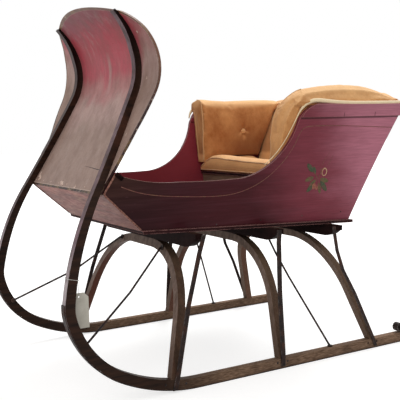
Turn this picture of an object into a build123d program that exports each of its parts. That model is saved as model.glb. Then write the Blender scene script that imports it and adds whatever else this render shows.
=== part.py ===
from build123d import *
from math import atan, cos, degrees, radians, sin, tan
import os

os.makedirs("parts", exist_ok=True)

# One-seat cutter sleigh on two bentwood runners, millimetres.
# +X is forward, +Y is the sleigh's left, +Z up, and the runners stand on z = 0.

# ---- running gear ----
runner_y = 451.0          # centre of a runner's sole from the middle of the track
runner_width = 30.0       # across, seen from the front
sole_depth = 35.0         # of the wood along the ground
rib_depth = 25.0          # of the same bar where it climbs the dash
rib_tip_depth = 9.0       # of its end, thinned on the front side
shoe_thickness = 4.0
tail_x = -700.0           # square end of the runner's wood
bend_x = 289.0            # where the sole starts to rise
seat_gap = 0.2            # between pieces that are bolted or screwed up

# One runner from its tail: turn in degrees, length along the bar, half depth at the row's end
runner_bends = [
    (0.0, bend_x - tail_x, sole_depth / 2),
    (27.2, 304.7, sole_depth / 2),
    (50.7, 277.9, sole_depth / 2),
    (21.3, 48.2, sole_depth / 2),
    (21.2, 370.0, rib_depth / 2),
    (-3.2, 397.0, rib_depth / 2),
    (-45.0, 162.6, rib_depth / 2),
    (-30.8, 148.0, rib_depth / 2),
]
shoe_rows = 4             # bends that the steel shoe follows
dash_rows = 5             # first bend that the dash follows

# The same bar from the front: turn inward in degrees, length up the bar
runner_lean = [
    (0.0, 30.0),
    (7.0, 60.0),
    (0.0, 450.0),
    (5.0, 120.0),
    (0.0, 350.0),
    (-12.0, 200.0),
    (0.0, 320.0),
]

# tail eye rolled from the shoe's end
eye_outer_r = 18.0
eye_strip = 5.0           # thickness of the rolled strip
eye_width = 26.0
eye_lift = 5.0            # of the eye over the runner's wood

# ---- benches: bentwood arches that stand on the runners ----
bar_thickness = 31.0      # of an arch, seen from the front
bar_width = 30.0          # of an arch, along the sleigh
leg_lean = 15.7           # of an arch's leg from upright, degrees
arch_top = 470.0          # upper face of the arches
# name, x of the arch's top, x of its feet, height of its top
arches = [
    ("front", 256.0, 388.0, arch_top + 20.0),
    ("middle", -102.0, -74.0, arch_top + 10.0),
    ("rear", -393.0, -530.0, arch_top),
]

crossbar_width = 30.0
crossbar_half_length = 426.0
crossbar_end_depth = 20.0
crossbar_scallop = 95.0   # length of the hollow under each end

# ---- body ----
floor_front_x = 440.0
floor_front_z = 552.0     # underside of the base board at its front edge
floor_rear_x = -512.0
floor_rear_z = 512.0
base_thickness = 12.0
base_overhang = 12.0
wall = 14.0
side_foot_y = 346.0       # outer face of a side panel at the height of its foot
side_foot_z = 530.0
side_flare = 11.55        # outward lean of the side panels, degrees
toe_top_z = 704.0         # upper edge of the toe panel, behind the dash
toe_lap = 1.5             # of the dash below that edge
toe_thickness = 11.0
arm_front_z = 772.0       # top of the low arm where it meets the dash
arm_low_z = 727.0         # top of the low arm at its lowest
rim_z = 990.0             # top of the high rear part
rim_front_x = -280.0      # where the rim becomes level
rim_band = 42.0           # height of the flared moulding round it
rim_flare = 24.0
rim_lip = 10.0            # the moulding's edge above the panel's
rim_lip_width = 5.0
rear_top_x = -733.0
rear_bow = 7.0            # hollow of the rear edge, forward of its chord
scoop_foot_x = 44.0       # rear end of the low arm
scoop_top_x = -196.0      # front edge of the high part

dash_thickness = 6.0
wing_start_y = 388.0      # where the dash's wings start to bend forward
wing_slope = 0.14         # forward for every millimetre outward
dash_binding = 8.0        # width of the band bound round its edge
binding_lip = 2.5         # how far the band stands behind the sheet
dash_top_z = 1371.0

# ---- seat ----
seat_front_x = -225.0
seat_board_z = 702.0
board = 12.0
cushion_overhang = 8.0    # of the seat cushion in front of its board
seat_cushion_height = 58.0
squab_thickness = 78.0
squab_rise = 55.0         # of the back cushion above the rim
wing_inner_y = 330.0      # inner face of the side squabs
wing_rise = 74.0          # of the side squabs above the rim
wing_foot_x = -132.0      # front edge of a side squab on the seat cushion
wing_top_x = -232.0       # front edge of its top
soft_gap = 0.4


def bend(start, heading, rows):
    # start, then the middle and the end of every row, each with its heading
    x, z = start
    stations = [(x, z, heading)]
    for row in rows:
        turn, length = row[0], row[1]
        for _ in range(2):
            half = length / 2
            mean = radians(heading + turn / 4)
            chord = half
            if abs(turn) > 1e-9:
                quarter = radians(turn) / 4
                chord = half * sin(quarter) / quarter
            x += chord * cos(mean)
            z += chord * sin(mean)
            heading += turn / 2
            stations.append((x, z, heading))
    return stations


def beside(stations, offsets):
    # points at a distance to the left of every station
    points = []
    for (x, z, heading), offset in zip(stations, offsets):
        a = radians(heading)
        points.append((x - offset * sin(a), z + offset * cos(a)))
    return points


def edges_through(points, stations):
    edges = []
    for i in range(0, len(points) - 1, 2):
        straight = abs(stations[i + 2][2] - stations[i][2]) < 1e-9
        if straight:
            edges.append(Edge.make_line(points[i], points[i + 2]))
        else:
            edges.append(Edge.make_three_point_arc(points[i], points[i + 1], points[i + 2]))
    return edges


def strip(stations, left, right):
    # face between two offsets of a bent line; each offset is one number or one per station
    if not isinstance(left, list):
        left = [left] * len(stations)
    if not isinstance(right, list):
        right = [right] * len(stations)
    a = beside(stations, left)
    b = beside(stations, right)
    edges = edges_through(a, stations) + edges_through(b, stations)
    edges.append(Edge.make_line(a[0], b[0]))
    edges.append(Edge.make_line(a[-1], b[-1]))
    return Face(Wire(edges))


def poly(*points):
    return Face(Wire.make_polygon([Vector(*p) for p in points], close=True))


def side_block(face, reach=600.0):
    return extrude(Plane.XZ * face, amount=reach, both=True)


def front_block(face, reach=900.0):
    return extrude(Plane.YZ * face, amount=reach, both=True)


def one(shape):
    solids = sorted(shape.solids(), key=lambda s: s.volume)
    return solids[-1]


def mirrored(solid):
    return one(mirror(solid, about=Plane.XZ))


nodes = {}


def pair(name, solid):
    nodes[name + "_left"] = solid
    nodes[name + "_right"] = mirrored(solid)


# ---- runners with their dash ribs, and their shoes ----
sole_z = shoe_thickness + sole_depth / 2
side_stations = bend((tail_x, sole_z), 0.0, runner_bends)
half_depths = [sole_depth / 2]
for row in runner_bends:
    half_depths.append((half_depths[-1] + row[2]) / 2)
    half_depths.append(row[2])
front_depths = half_depths[:-2]
tip_offset = rib_tip_depth - rib_depth / 2
front_depths += [(rib_depth / 2 + tip_offset) / 2, tip_offset]
runner_side = strip(side_stations, half_depths, [-d for d in front_depths])

lean_stations = bend((runner_y, 0.0), 90.0, runner_lean)
runner_front = strip(lean_stations, runner_width / 2, -runner_width / 2)
shoe_front = strip(lean_stations, runner_width / 2 - 1.5, -runner_width / 2 + 1.5)
lean_curtain = front_block(runner_front)
pair("runner", one(side_block(runner_side) & lean_curtain))

shoe_stations = side_stations[: 2 * shoe_rows + 1]
shoe_side = strip(shoe_stations, -sole_depth / 2 - seat_gap, -sole_depth / 2 - shoe_thickness)
shoe = side_block(shoe_side) & front_block(shoe_front)
# the shoe turns up over the square end and rolls forward into an eye on top
tail_face = tail_x - seat_gap
eye_x = tail_face - eye_strip + eye_outer_r
eye_z = shoe_thickness + sole_depth + eye_outer_r + seat_gap + eye_lift
eye_bore_r = eye_outer_r - eye_strip
turn_up = Pos(tail_face - eye_strip / 2, runner_y, eye_z / 2) * Box(eye_strip, eye_width, eye_z)
turn_foot = Pos(tail_face, runner_y, (shoe_thickness - seat_gap) / 2) * Box(
    2 * eye_strip, eye_width, shoe_thickness - seat_gap
)
eye = Pos(eye_x, runner_y, eye_z) * Rot(90, 0, 0) * Cylinder(eye_outer_r, eye_width)
eye_hole = Pos(eye_x, runner_y, eye_z) * Rot(90, 0, 0) * Cylinder(eye_bore_r, eye_width + 2)
shoe = shoe + turn_up + turn_foot + eye - eye_hole
pair("shoe", one(shoe))

# ---- arches, crossbars and stays ----
foot_z = shoe_thickness + sole_depth + seat_gap
foot_lean = 7.0


def floor_z(x):
    t = (x - floor_rear_x) / (floor_front_x - floor_rear_x)
    return floor_rear_z + t * (floor_front_z - floor_rear_z)


def runner_top(x):
    # upper face of the runner, which starts to climb at bend_x
    turn, length = runner_bends[1][0], runner_bends[1][1]
    radius = length / radians(turn)
    if x <= bend_x:
        return shoe_thickness + sole_depth
    inner = radius - sole_depth / 2
    return sole_z + radius - (inner**2 - (x - bend_x) ** 2) ** 0.5


for name, top_x, foot_x, top_z in arches:
    middle_z = top_z - bar_thickness / 2
    # the leg's outer face comes down flush with the runner's
    foot_y = runner_y + runner_width / 2 - bar_thickness / 2 / cos(radians(leg_lean))
    leg_length = 212.0
    quarter = 90.0 - leg_lean
    leg_top_y = foot_y - leg_length * sin(radians(leg_lean))
    leg_top_z = foot_z + leg_length * cos(radians(leg_lean))
    rise = middle_z - leg_top_z
    radius = rise / (1 - sin(radians(leg_lean)))
    arc = radius * radians(quarter)
    inner_y = leg_top_y - radius * cos(radians(leg_lean))
    rows = [
        (0.0, leg_length + 20.0),
        (quarter, arc),
        (0.0, 2 * inner_y),
        (quarter, arc),
        (0.0, leg_length + 20.0),
    ]
    back = 20.0
    start = (
        foot_y + back * sin(radians(leg_lean)),
        foot_z - back * cos(radians(leg_lean)),
    )
    stations = bend(start, 90.0 + leg_lean, rows)
    front_view = strip(stations, bar_thickness / 2, -bar_thickness / 2)
    half = bar_width / 2
    rake = (top_x - foot_x) / (top_z - foot_z)
    side_view = poly(
        (foot_x - half, runner_top(foot_x - half) + seat_gap),
        (foot_x + half, runner_top(foot_x + half) + seat_gap),
        (top_x + half, top_z + 1.0),
        (top_x - half, top_z + 1.0),
    )
    nodes["arch_" + name] = one(side_block(side_view) & front_block(front_view))

    # crossbar: flat on the arch, tapered to the body's floor, hollowed under its ends
    half = crossbar_width / 2
    x0 = top_x - half
    x1 = top_x + half
    low = top_z + seat_gap
    side_view = poly(
        (x0, low),
        (x1, low),
        (x1, floor_z(x1) - seat_gap),
        (x0, floor_z(x0) - seat_gap),
    )
    end = crossbar_half_length
    high = floor_z(x1) + 5.0
    tip_low = floor_z(x0) - crossbar_end_depth
    inner = end - crossbar_scallop
    outline = Wire(
        [
            Edge.make_line((-inner, low), (inner, low)),
            Edge.make_three_point_arc(
                (inner, low), (inner + 0.55 * crossbar_scallop, low + 0.24 * (tip_low - low)), (end - 8.0, tip_low)
            ),
            Edge.make_line((end - 8.0, tip_low), (end, tip_low)),
            Edge.make_line((end, tip_low), (end, high)),
            Edge.make_line((end, high), (-end, high)),
            Edge.make_line((-end, high), (-end, tip_low)),
            Edge.make_line((-end, tip_low), (-end + 8.0, tip_low)),
            Edge.make_three_point_arc(
                (-end + 8.0, tip_low), (-inner - 0.55 * crossbar_scallop, low + 0.24 * (tip_low - low)), (-inner, low)
            ),
        ]
    )
    nodes["crossbar_" + name] = one(side_block(side_view) & front_block(Face(outline)))

# flat iron stays from the crossbar's end down the outside to the runner
stay_thickness = 5.0
stay_foot_z = 10.0
stay_low_z = 62.0         # where a stay turns inward over the runner
stay_high_z = 478.0       # where it turns upright along the crossbar's end
# name, width, and x and height of the middle of each bend from the crossbar down to the sole
stays = [
    ("stay_front", 17.0, [(236.0, 0.0), (316.0, 300.0), (392.0, stay_foot_z)]),
    ("stay_middle", 19.0, [(-95.0, 0.0), (-80.0, 290.0), (-74.0, stay_foot_z)]),
    ("stay_rear", 14.0, [(-363.0, 0.0), (-373.0, 418.0), (-396.0, 338.0), (-448.0, 239.0), (-544.0, stay_foot_z)]),
]
stay_inner_foot = runner_y + runner_width / 2 + seat_gap
stay_inner_top = crossbar_half_length + seat_gap
for name, width, bends in stays:
    top_x = bends[0][0]
    top_z = floor_z(top_x) - 3.0
    t = stay_thickness
    front_view = poly(
        (stay_inner_foot, stay_foot_z),
        (stay_inner_foot + t, stay_foot_z),
        (stay_inner_foot + t, stay_low_z),
        (stay_inner_top + t, stay_high_z),
        (stay_inner_top + t, top_z),
        (stay_inner_top, top_z),
        (stay_inner_top, stay_high_z),
        (stay_inner_foot, stay_low_z),
    )
    middle = [(top_x, top_z)] + bends[1:]
    half = width / 2
    side_view = poly(*[(x + half, z) for x, z in middle], *[(x - half, z) for x, z in reversed(middle)])
    pair(name, one(side_block(side_view) & front_block(front_view)))

# ---- round brace rods ----
rod_r = 4.0
tab_r = 10.0              # flattened end of a rod
tab_t = 5.0


def tube(points, r):
    path = Wire.make_polygon([Vector(*p) for p in points], close=False)
    direction = Vector(*points[1]) - Vector(*points[0])
    section = Plane(origin=points[0], z_dir=direction) * Circle(r)
    return sweep(section, path=path, transition=Transition.RIGHT)


def lean_y(z):
    # centre of a runner bar at a height, on its straight leaning length
    foot = lean_stations[4]
    return foot[0] - (z - foot[1]) * tan(radians(runner_lean[1][0]))


arch_x = {name: (top_x, foot_x, top_z) for name, top_x, foot_x, top_z in arches}

# front: from the front arch's raked face down to the inner face of the runner's bend
front_tab_z = 467.0
top_x, foot_x, top_z = arch_x["front"]
rake_run = (foot_x - top_x) / (top_z + 1.0 - runner_top(foot_x + bar_width / 2) - seat_gap)
rake = atan(rake_run)
tab_x = top_x + bar_width / 2 + (top_z + 1.0 - front_tab_z) * rake_run + seat_gap / cos(rake)
nose_z = 206.0
nose_x = 694.0
nose_face = lean_y(nose_z) - runner_width / 2 / cos(radians(runner_lean[1][0])) - seat_gap
front_tab_y = 184.0
tab_middle = (tab_x + tab_t / 2 * cos(rake), front_tab_y, front_tab_z + tab_t / 2 * sin(rake))
upper_tab = Pos(*tab_middle) * Rot(0, 90.0 - degrees(rake), 0) * Cylinder(tab_r, tab_t)
lower_tab = (
    Pos(nose_x, nose_face, nose_z)
    * Rot(runner_lean[1][0], 0, 0)
    * Pos(0, -tab_t / 2, 0)
    * Rot(90, 0, 0)
    * Cylinder(tab_r, tab_t)
)
front_rod = tube(
    [
        tab_middle,
        (tab_x + tab_t + 8.0, front_tab_y + 3.0, front_tab_z - 2.0),
        (463.0, 275.0, 333.0),
        (nose_x - 8.0, nose_face - tab_t - 8.0, nose_z + 6.0),
        (nose_x, nose_face - 0.8 * tab_t, nose_z),
    ],
    rod_r,
)
pair("brace_front", one(front_rod + upper_tab + lower_tab))

# rear: from the middle crossbar's rear face down to the top of the runner
tab_x = arch_x["middle"][0] - crossbar_width / 2 - seat_gap
tab_z = arch_x["middle"][2] + tab_r + 3.0
foot_x = -322.0
rear_tab_y = crossbar_half_length - 130.0
upper_tab = Pos(tab_x - tab_t / 2, rear_tab_y, tab_z) * Rot(0, 90, 0) * Cylinder(tab_r, tab_t)
lower_tab = Pos(foot_x, runner_y - 5.0, foot_z + tab_t / 2) * Cylinder(tab_r, tab_t)
rear_rod = tube(
    [
        (tab_x - tab_t / 2, rear_tab_y, tab_z),
        (tab_x - tab_t - 8.0, rear_tab_y + 1.0, tab_z - 3.0),
        (-152.0, 322.0, 420.0),
        (-196.0, 350.0, 320.0),
        (foot_x + 6.0, runner_y - 9.0, foot_z + tab_t + 9.0),
        (foot_x, runner_y - 5.0, foot_z + tab_t / 2),
    ],
    rod_r,
)
pair("brace_rear", one(rear_rod + upper_tab + lower_tab))

# ---- dash: a sheet bent like the ribs and screwed to their rear faces ----
dash_stations = side_stations[2 * dash_rows:]
last_x, last_z, last_heading = dash_stations[-1]
dash_stations = dash_stations + bend((last_x, last_z), last_heading, [(-10.6, 82.5)])[1:]
dash_front_offset = rib_depth / 2 + seat_gap
dash_sheet = strip(dash_stations, dash_front_offset, dash_front_offset + dash_thickness)
binding_sheet = strip(dash_stations, dash_front_offset, dash_front_offset + dash_thickness + binding_lip)


def winged(face):
    # flat across the middle, with both wings bent forward
    middle = extrude(Plane.XZ * face, amount=wing_start_y, both=True)
    reach = 120.0
    wing = extrude(Pos(0, wing_start_y, 0) * (Plane.XZ * face), amount=reach, dir=(wing_slope, 1, 0))
    return middle + wing + mirror(wing, about=Plane.XZ)


dash_low_z = toe_top_z - toe_lap
# one edge of the dash from the front: three points of every arc, from its foot to its top corner
dash_arcs = [
    ((372.0, dash_low_z), (391.0, dash_low_z + 98.0), (420.0, dash_low_z + 218.0)),
    ((420.0, dash_low_z + 218.0), (450.0, dash_top_z - 286.0), (417.0, dash_top_z - 146.0)),
    ((417.0, dash_top_z - 146.0), (372.0, dash_top_z - 86.0), (304.0, dash_top_z - 42.0)),
]


def edge_points(inset):
    # the points of dash_arcs and the top's middle, moved square to the edge
    points = [dash_arcs[0][0]]
    for _, b, c in dash_arcs:
        points += [b, c]
    points.append((0.0, dash_top_z))
    moved = [(points[0][0] - inset, points[0][1] + inset)]
    for before, here, after in zip(points, points[1:], points[2:]):
        first = (Vector(*here) - Vector(*before)).normalized()
        second = (Vector(*after) - Vector(*here)).normalized()
        along = (first + second).normalized()
        moved.append((here[0] - inset * along.Y, here[1] + inset * along.X))
    moved.append((0.0, dash_top_z - inset))
    return moved


def dash_face(inset):
    right = edge_points(inset)
    left = [(-y, z) for y, z in right]
    edges = [Edge.make_line(left[0], right[0])]
    for i in range(0, len(dash_arcs) * 2, 2):
        edges.append(Edge.make_three_point_arc(*right[i:i + 3]))
        edges.append(Edge.make_three_point_arc(*left[i:i + 3]))
    edges.append(Edge.make_three_point_arc(left[-2], right[-1], right[-2]))
    return Face(Wire(edges))


# ---- body ----
# line that the sides' front edges follow, just behind the dash and its binding
first_turn, first_length = runner_bends[dash_rows][0], runner_bends[dash_rows][1]
dash_foot = bend(dash_stations[0][:2], dash_stations[0][2], [(0.2 * first_turn, 0.2 * first_length)])
binding_offset = dash_front_offset + dash_thickness + binding_lip
dash_back = beside([dash_foot[0], dash_foot[-1]], [binding_offset + 0.3] * 2)


def dash_back_x(z):
    (x0, z0), (x1, z1) = dash_back
    return x0 + (z - z0) * (x1 - x0) / (z1 - z0)


def side_y(z):
    return side_foot_y + (z - side_foot_z) * tan(radians(side_flare))


wall_low_z = floor_rear_z - 100.0
wall_high_z = rim_z + 200.0


def lean_wall(outer_in, inner_in):
    # left leaning slab between two distances inside the side's outer face
    return poly(
        (side_y(wall_low_z) - outer_in, wall_low_z),
        (side_y(wall_high_z) - outer_in, wall_high_z),
        (side_y(wall_high_z) - inner_in, wall_high_z),
        (side_y(wall_low_z) - inner_in, wall_low_z),
    )


def between_walls(inset):
    return poly(
        (side_y(wall_low_z) - inset, wall_low_z),
        (side_y(wall_high_z) - inset, wall_high_z),
        (-side_y(wall_high_z) + inset, wall_high_z),
        (-side_y(wall_low_z) + inset, wall_low_z),
    )


def rear_x(z):
    # outer face of the back, on the chord of its hollow edge
    share = (z - foot_rear) / (rim_z - foot_rear)
    return floor_rear_x + share * (rear_top_x - floor_rear_x)


def rear_edge(inset, low_z, high_z):
    # hollow rear edge, upward, at a distance in front of the outer face
    middle = (low_z + high_z) / 2
    depth = rear_bow * (high_z - low_z) / (rim_z - foot_rear)
    return Edge.make_three_point_arc(
        (rear_x(low_z) + inset, low_z), (rear_x(middle) + inset + depth, middle), (rear_x(high_z) + inset, high_z)
    )


base_top = base_thickness
base_rear_x = floor_rear_x - base_overhang
base_side = poly(
    (base_rear_x, floor_z(base_rear_x)),
    (floor_front_x, floor_z(floor_front_x)),
    (floor_front_x + 4.0, floor_z(floor_front_x) + base_top),
    (base_rear_x, floor_z(base_rear_x) + base_top),
)
base_plan_half = side_y(side_foot_z) + base_overhang
nodes["base_board"] = one(side_block(base_side, base_plan_half))

foot_front = floor_z(floor_front_x) + base_top + seat_gap
foot_rear = floor_z(floor_rear_x) + base_top + seat_gap

toe_corner = (dash_back_x(toe_top_z), toe_top_z)
arm_corner = (dash_back_x(arm_front_z), arm_front_z)

# upper edge of a side from the dash to the rim: middle and end of every arc
scoop = rim_z - arm_low_z
arm_arcs = [
    ((456.0, arm_low_z + 17.0), (304.0, arm_low_z + 4.0)),
    ((150.0, arm_low_z), (scoop_foot_x, arm_low_z + 2.0)),
    ((scoop_top_x + 84.0, arm_low_z + 0.275 * scoop), (scoop_top_x, rim_z - 52.0)),
    ((scoop_top_x - 29.0, rim_z - 14.0), (rim_front_x, rim_z)),
]
side_edges = [
    Edge.make_line((floor_rear_x, foot_rear), (floor_front_x + 5.0, foot_front)),
    Edge.make_line((floor_front_x + 5.0, foot_front), toe_corner),
    Edge.make_line(toe_corner, arm_corner),
]
last = arm_corner
for arc_middle, arc_end in arm_arcs:
    side_edges.append(Edge.make_three_point_arc(last, arc_middle, arc_end))
    last = arc_end
side_edges.append(Edge.make_line(last, (rear_top_x, rim_z)))
side_edges.append(rear_edge(0.0, foot_rear, rim_z))
side_outline = Face(Wire(side_edges))
pair("side_panel", one(side_block(side_outline) & front_block(lean_wall(0.0, wall))))

# flared moulding round the rim: its section, from the panel's face outward
band_low = rim_z - rim_band
band_section = [
    (0.0, band_low),
    (5.0, band_low),
    (0.33 * rim_flare, rim_z - 12.0),
    (rim_flare, rim_z + rim_lip - 4.0),
    (rim_flare - rim_lip_width, rim_z + rim_lip),
    (0.0, rim_z),
]


def band_face(face_at):
    # the section set on a face whose place depends on the height; the flare hangs from the rim's
    low, high = face_at(band_low), face_at(rim_z)
    a, b, c, d, e, f = band_section
    corner_a = (low + a[0], a[1])
    corner_b = (low + b[0], b[1])
    corner_d = (high + d[0], d[1])
    corner_e = (high + e[0], e[1])
    corner_f = (high + f[0], f[1])
    return Face(
        Wire(
            [
                Edge.make_line(corner_a, corner_b),
                Edge.make_three_point_arc(corner_b, (high + c[0], c[1]), corner_d),
                Edge.make_line(corner_d, corner_e),
                Edge.make_line(corner_e, corner_f),
                Edge.make_line(corner_f, corner_a),
            ]
        )
    )


band_front_view = band_face(lambda z: side_y(z) + seat_gap)
band_front_x = scoop_top_x - 9.0
band_high = rim_z + rim_lip + 2.0
band_side_view = Face(
    Wire(
        [
            Edge.make_line((band_front_x, band_low), (rear_x(band_low), band_low)),
            Edge.make_line((rear_x(band_low), band_low), (rear_x(band_high), band_high)),
            Edge.make_line((rear_x(band_high), band_high), (rim_front_x - 10.0, band_high)),
            Edge.make_three_point_arc(
                (rim_front_x - 10.0, band_high), (band_front_x - 27.0, rim_z - 6.0), (band_front_x, band_low)
            ),
        ]
    )
)
pair("rim_moulding", one(side_block(band_side_view) & front_block(band_front_view)))

# back panel between the sides, slanting rearward, with the same moulding behind its rim
inside = wall + seat_gap
inner_foot_z = foot_rear + 0.5
back_wire = Wire(
    [
        rear_edge(0.0, foot_rear, rim_z),
        Edge.make_line((rear_top_x, rim_z), (rear_top_x + wall, rim_z)),
        rear_edge(wall, inner_foot_z, rim_z),
        Edge.make_line((rear_x(inner_foot_z) + wall, inner_foot_z), (floor_rear_x, foot_rear)),
    ]
)
nodes["back_panel"] = one(side_block(Face(back_wire)) & front_block(between_walls(inside)))
back_band = band_face(lambda z: -rear_x(z) + 0.5)
back_band = mirror(back_band, about=Plane.YZ)
low_y = side_y(band_low) + 5.0
high_y = side_y(rim_z) + rim_flare
band_ends = poly((low_y, band_low), (high_y, band_high), (-high_y, band_high), (-low_y, band_low))
nodes["rim_moulding_back"] = one(side_block(back_band) & front_block(band_ends))

# toe panel from the base's front edge up to the dash
toe_side = poly(
    (floor_front_x + 5.0, foot_front),
    toe_corner,
    (toe_corner[0] - toe_thickness, toe_corner[1]),
    (floor_front_x + 5.0 - toe_thickness, foot_front),
)
nodes["toe_panel"] = one(side_block(toe_side) & front_block(between_walls(inside)))

whole = dash_face(0.0)
inner = dash_face(dash_binding)
nodes["dash_panel"] = one(winged(dash_sheet) & front_block(inner))
ring = front_block(whole) - front_block(dash_face(dash_binding - seat_gap))
nodes["dash_binding"] = one(winged(binding_sheet) & ring)

# ---- seat ----

def back_inner_x(z):
    # inner face of the back panel, as far forward as its hollow brings it
    return rear_x(z) + wall + rear_bow


seat_top = seat_board_z + board
board_back = back_inner_x(seat_board_z) + soft_gap
seat_side = poly(
    (board_back, seat_board_z),
    (seat_front_x, seat_board_z),
    (seat_front_x, seat_top),
    (board_back, seat_top),
)
nodes["seat_board"] = one(side_block(seat_side) & front_block(between_walls(inside)))
riser_x = seat_front_x - 6.0
riser_side = poly(
    (riser_x, floor_z(riser_x) + base_top + seat_gap),
    (riser_x - board, floor_z(riser_x - board) + base_top + seat_gap),
    (riser_x - board, seat_board_z - seat_gap),
    (riser_x, seat_board_z - seat_gap),
)
nodes["seat_riser"] = one(side_block(riser_side) & front_block(between_walls(inside)))

# seat cushion, back squab and one squab along each side
cushion_low = seat_top + soft_gap
cushion_top = cushion_low + seat_cushion_height
squab_low = cushion_low
squab_top = rim_z + squab_rise
cushion_inset = wall + soft_gap + 1.0


def squab_back_x(z):
    return back_inner_x(z) + soft_gap


def squab_front_x(z):
    return squab_back_x(z) + squab_thickness


cushion_side = poly(
    (squab_front_x(cushion_low) + soft_gap, cushion_low),
    (seat_front_x + cushion_overhang, cushion_low),
    (seat_front_x + cushion_overhang, cushion_top),
    (squab_front_x(cushion_top) + soft_gap, cushion_top),
)
nodes["seat_cushion"] = one(side_block(cushion_side) & front_block(between_walls(cushion_inset)))

squab_side = poly(
    (squab_back_x(squab_low), squab_low),
    (squab_front_x(squab_low), squab_low),
    (squab_front_x(squab_top), squab_top),
    (squab_back_x(squab_top), squab_top),
)
nodes["back_cushion"] = one(side_block(squab_side) & front_block(between_walls(cushion_inset)))

# a side squab stands on the seat cushion and rolls out over the rim
wing_low = cushion_top + soft_gap
wing_top = rim_z + wing_rise
wing_side = Face(
    Wire(
        [
            Edge.make_line((squab_front_x(wing_low) + soft_gap, wing_low), (wing_foot_x, wing_low)),
            Edge.make_three_point_arc(
                (wing_foot_x, wing_low), (wing_foot_x - 28.0, wing_low + 165.0), (wing_top_x, wing_top)
            ),
            Edge.make_line((wing_top_x, wing_top), (squab_front_x(wing_top) + soft_gap, wing_top)),
            Edge.make_line(
                (squab_front_x(wing_top) + soft_gap, wing_top), (squab_front_x(wing_low) + soft_gap, wing_low)
            ),
        ]
    )
)
wing_lip_z = rim_z + 1.5
wing_front = Face(
    Wire(
        [
            Edge.make_line((side_y(wing_low) - cushion_inset, wing_low), (wing_inner_y, wing_low)),
            Edge.make_line((wing_inner_y, wing_low), (wing_inner_y, wing_top - 30.0)),
            Edge.make_three_point_arc(
                (wing_inner_y, wing_top - 30.0), (wing_inner_y + 36.0, wing_top - 4.0), (wing_inner_y + 75.0, wing_top)
            ),
            Edge.make_three_point_arc(
                (wing_inner_y + 75.0, wing_top),
                (side_y(rim_z) - 6.0, rim_z + 0.62 * wing_rise),
                (side_y(rim_z) + 1.0, wing_lip_z),
            ),
            Edge.make_line((side_y(rim_z) + 1.0, wing_lip_z), (side_y(wing_lip_z) - cushion_inset, wing_lip_z)),
            Edge.make_line((side_y(wing_lip_z) - cushion_inset, wing_lip_z), (side_y(wing_low) - cushion_inset, wing_low)),
        ]
    )
)
pair("wing_cushion", one(side_block(wing_side) & front_block(wing_front)))

# ---- paper tag on a loop of string round the left runner's front bend ----
tag_width = 68.0
tag_height = 121.0
tag_thickness = 1.0
tag_corner = 16.0
tag_x = 703.0
tag_y = 391.0
tag_top_z = 385.0
eyelet_drop = 13.0
string_r = 0.8
tie_z = 436.0             # height of the loop on the bar
tie_clear = 3.2           # from the bar to the string's middle
string_bend = 5.0         # radius of the loop at the bar's corners

half = tag_width / 2
tag_low = tag_top_z - tag_height
tag_view = poly(
    (tag_x - half, tag_low),
    (tag_x + half, tag_low),
    (tag_x + half, tag_top_z - tag_corner),
    (tag_x + half - tag_corner, tag_top_z),
    (tag_x - half + tag_corner, tag_top_z),
    (tag_x - half, tag_top_z - tag_corner),
)
tag = Pos(0, tag_y, 0) * side_block(tag_view, tag_thickness / 2)
tag_hole = Pos(tag_x, tag_y, tag_top_z - eyelet_drop) * Rot(90, 0, 0) * Cylinder(2.5, 4.0)
nodes["hang_tag"] = one(tag - tag_hole)

# middle of the bar where it is tied, on the row of bends that climbs to the dash
climb = side_stations[2 * shoe_rows]
climb_turn, climb_length = runner_bends[shoe_rows][0], runner_bends[shoe_rows][1]
share = 0.0
while bend(climb[:2], climb[2], [(climb_turn * share, max(climb_length * share, 0.001))])[-1][1] < tie_z:
    share += 0.005
tie = bend(climb[:2], climb[2], [(climb_turn * share, climb_length * share)])[-1]
tie_half_depth = sole_depth / 2 + share * (rib_depth - sole_depth) / 2
tie_y = lean_y(tie_z)
tie_half_width = runner_width / 2 / cos(radians(runner_lean[1][0]))


def on_bar(back, out):
    # point beside the bar: back from its middle, and out to the sleigh's left
    a = radians(tie[2])
    return (tie[0] - back * sin(a), tie_y + out, tie[1] + back * cos(a))


deep = tie_half_depth + tie_clear
wide = tie_half_width + tie_clear
string_points = [
    on_bar(tie_half_depth + string_r + seat_gap, -4.0),
    on_bar(deep, -wide),
    on_bar(-deep, -wide),
    on_bar(-deep, wide),
    on_bar(deep, wide),
    on_bar(deep + 2.5, 0.0),
    (tag_x, tag_y + tag_thickness / 2 + string_r + 0.1, tag_top_z - eyelet_drop + 2.0),
]
string_path = FilletPolyline(*string_points, radius=string_bend)
string_section = Plane(origin=string_path @ 0, z_dir=string_path % 0) * Circle(string_r)
nodes["tag_string"] = one(sweep(string_section, path=string_path))

# the frame's origin is on the ground under the middle of the sleigh's length
boxes = [solid.bounding_box() for solid in nodes.values()]
front_end = max(b.max.X for b in boxes)
rear_end = min(b.min.X for b in boxes)
middle_x = (front_end + rear_end) / 2
nodes = {name: Pos(-middle_x, 0, 0) * solid for name, solid in nodes.items()}

if __name__ == "__main__":
    for name, solid in nodes.items():
        export_step(solid, f"parts/{name}.step")
    print("nodes", len(nodes), "moved back", round(middle_x, 3))
    print("length", round(front_end - rear_end, 2), "height", round(max(b.max.Z for b in boxes), 2))
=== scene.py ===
import math

import bmesh
import bpy
from mathutils import Matrix, Vector


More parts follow.
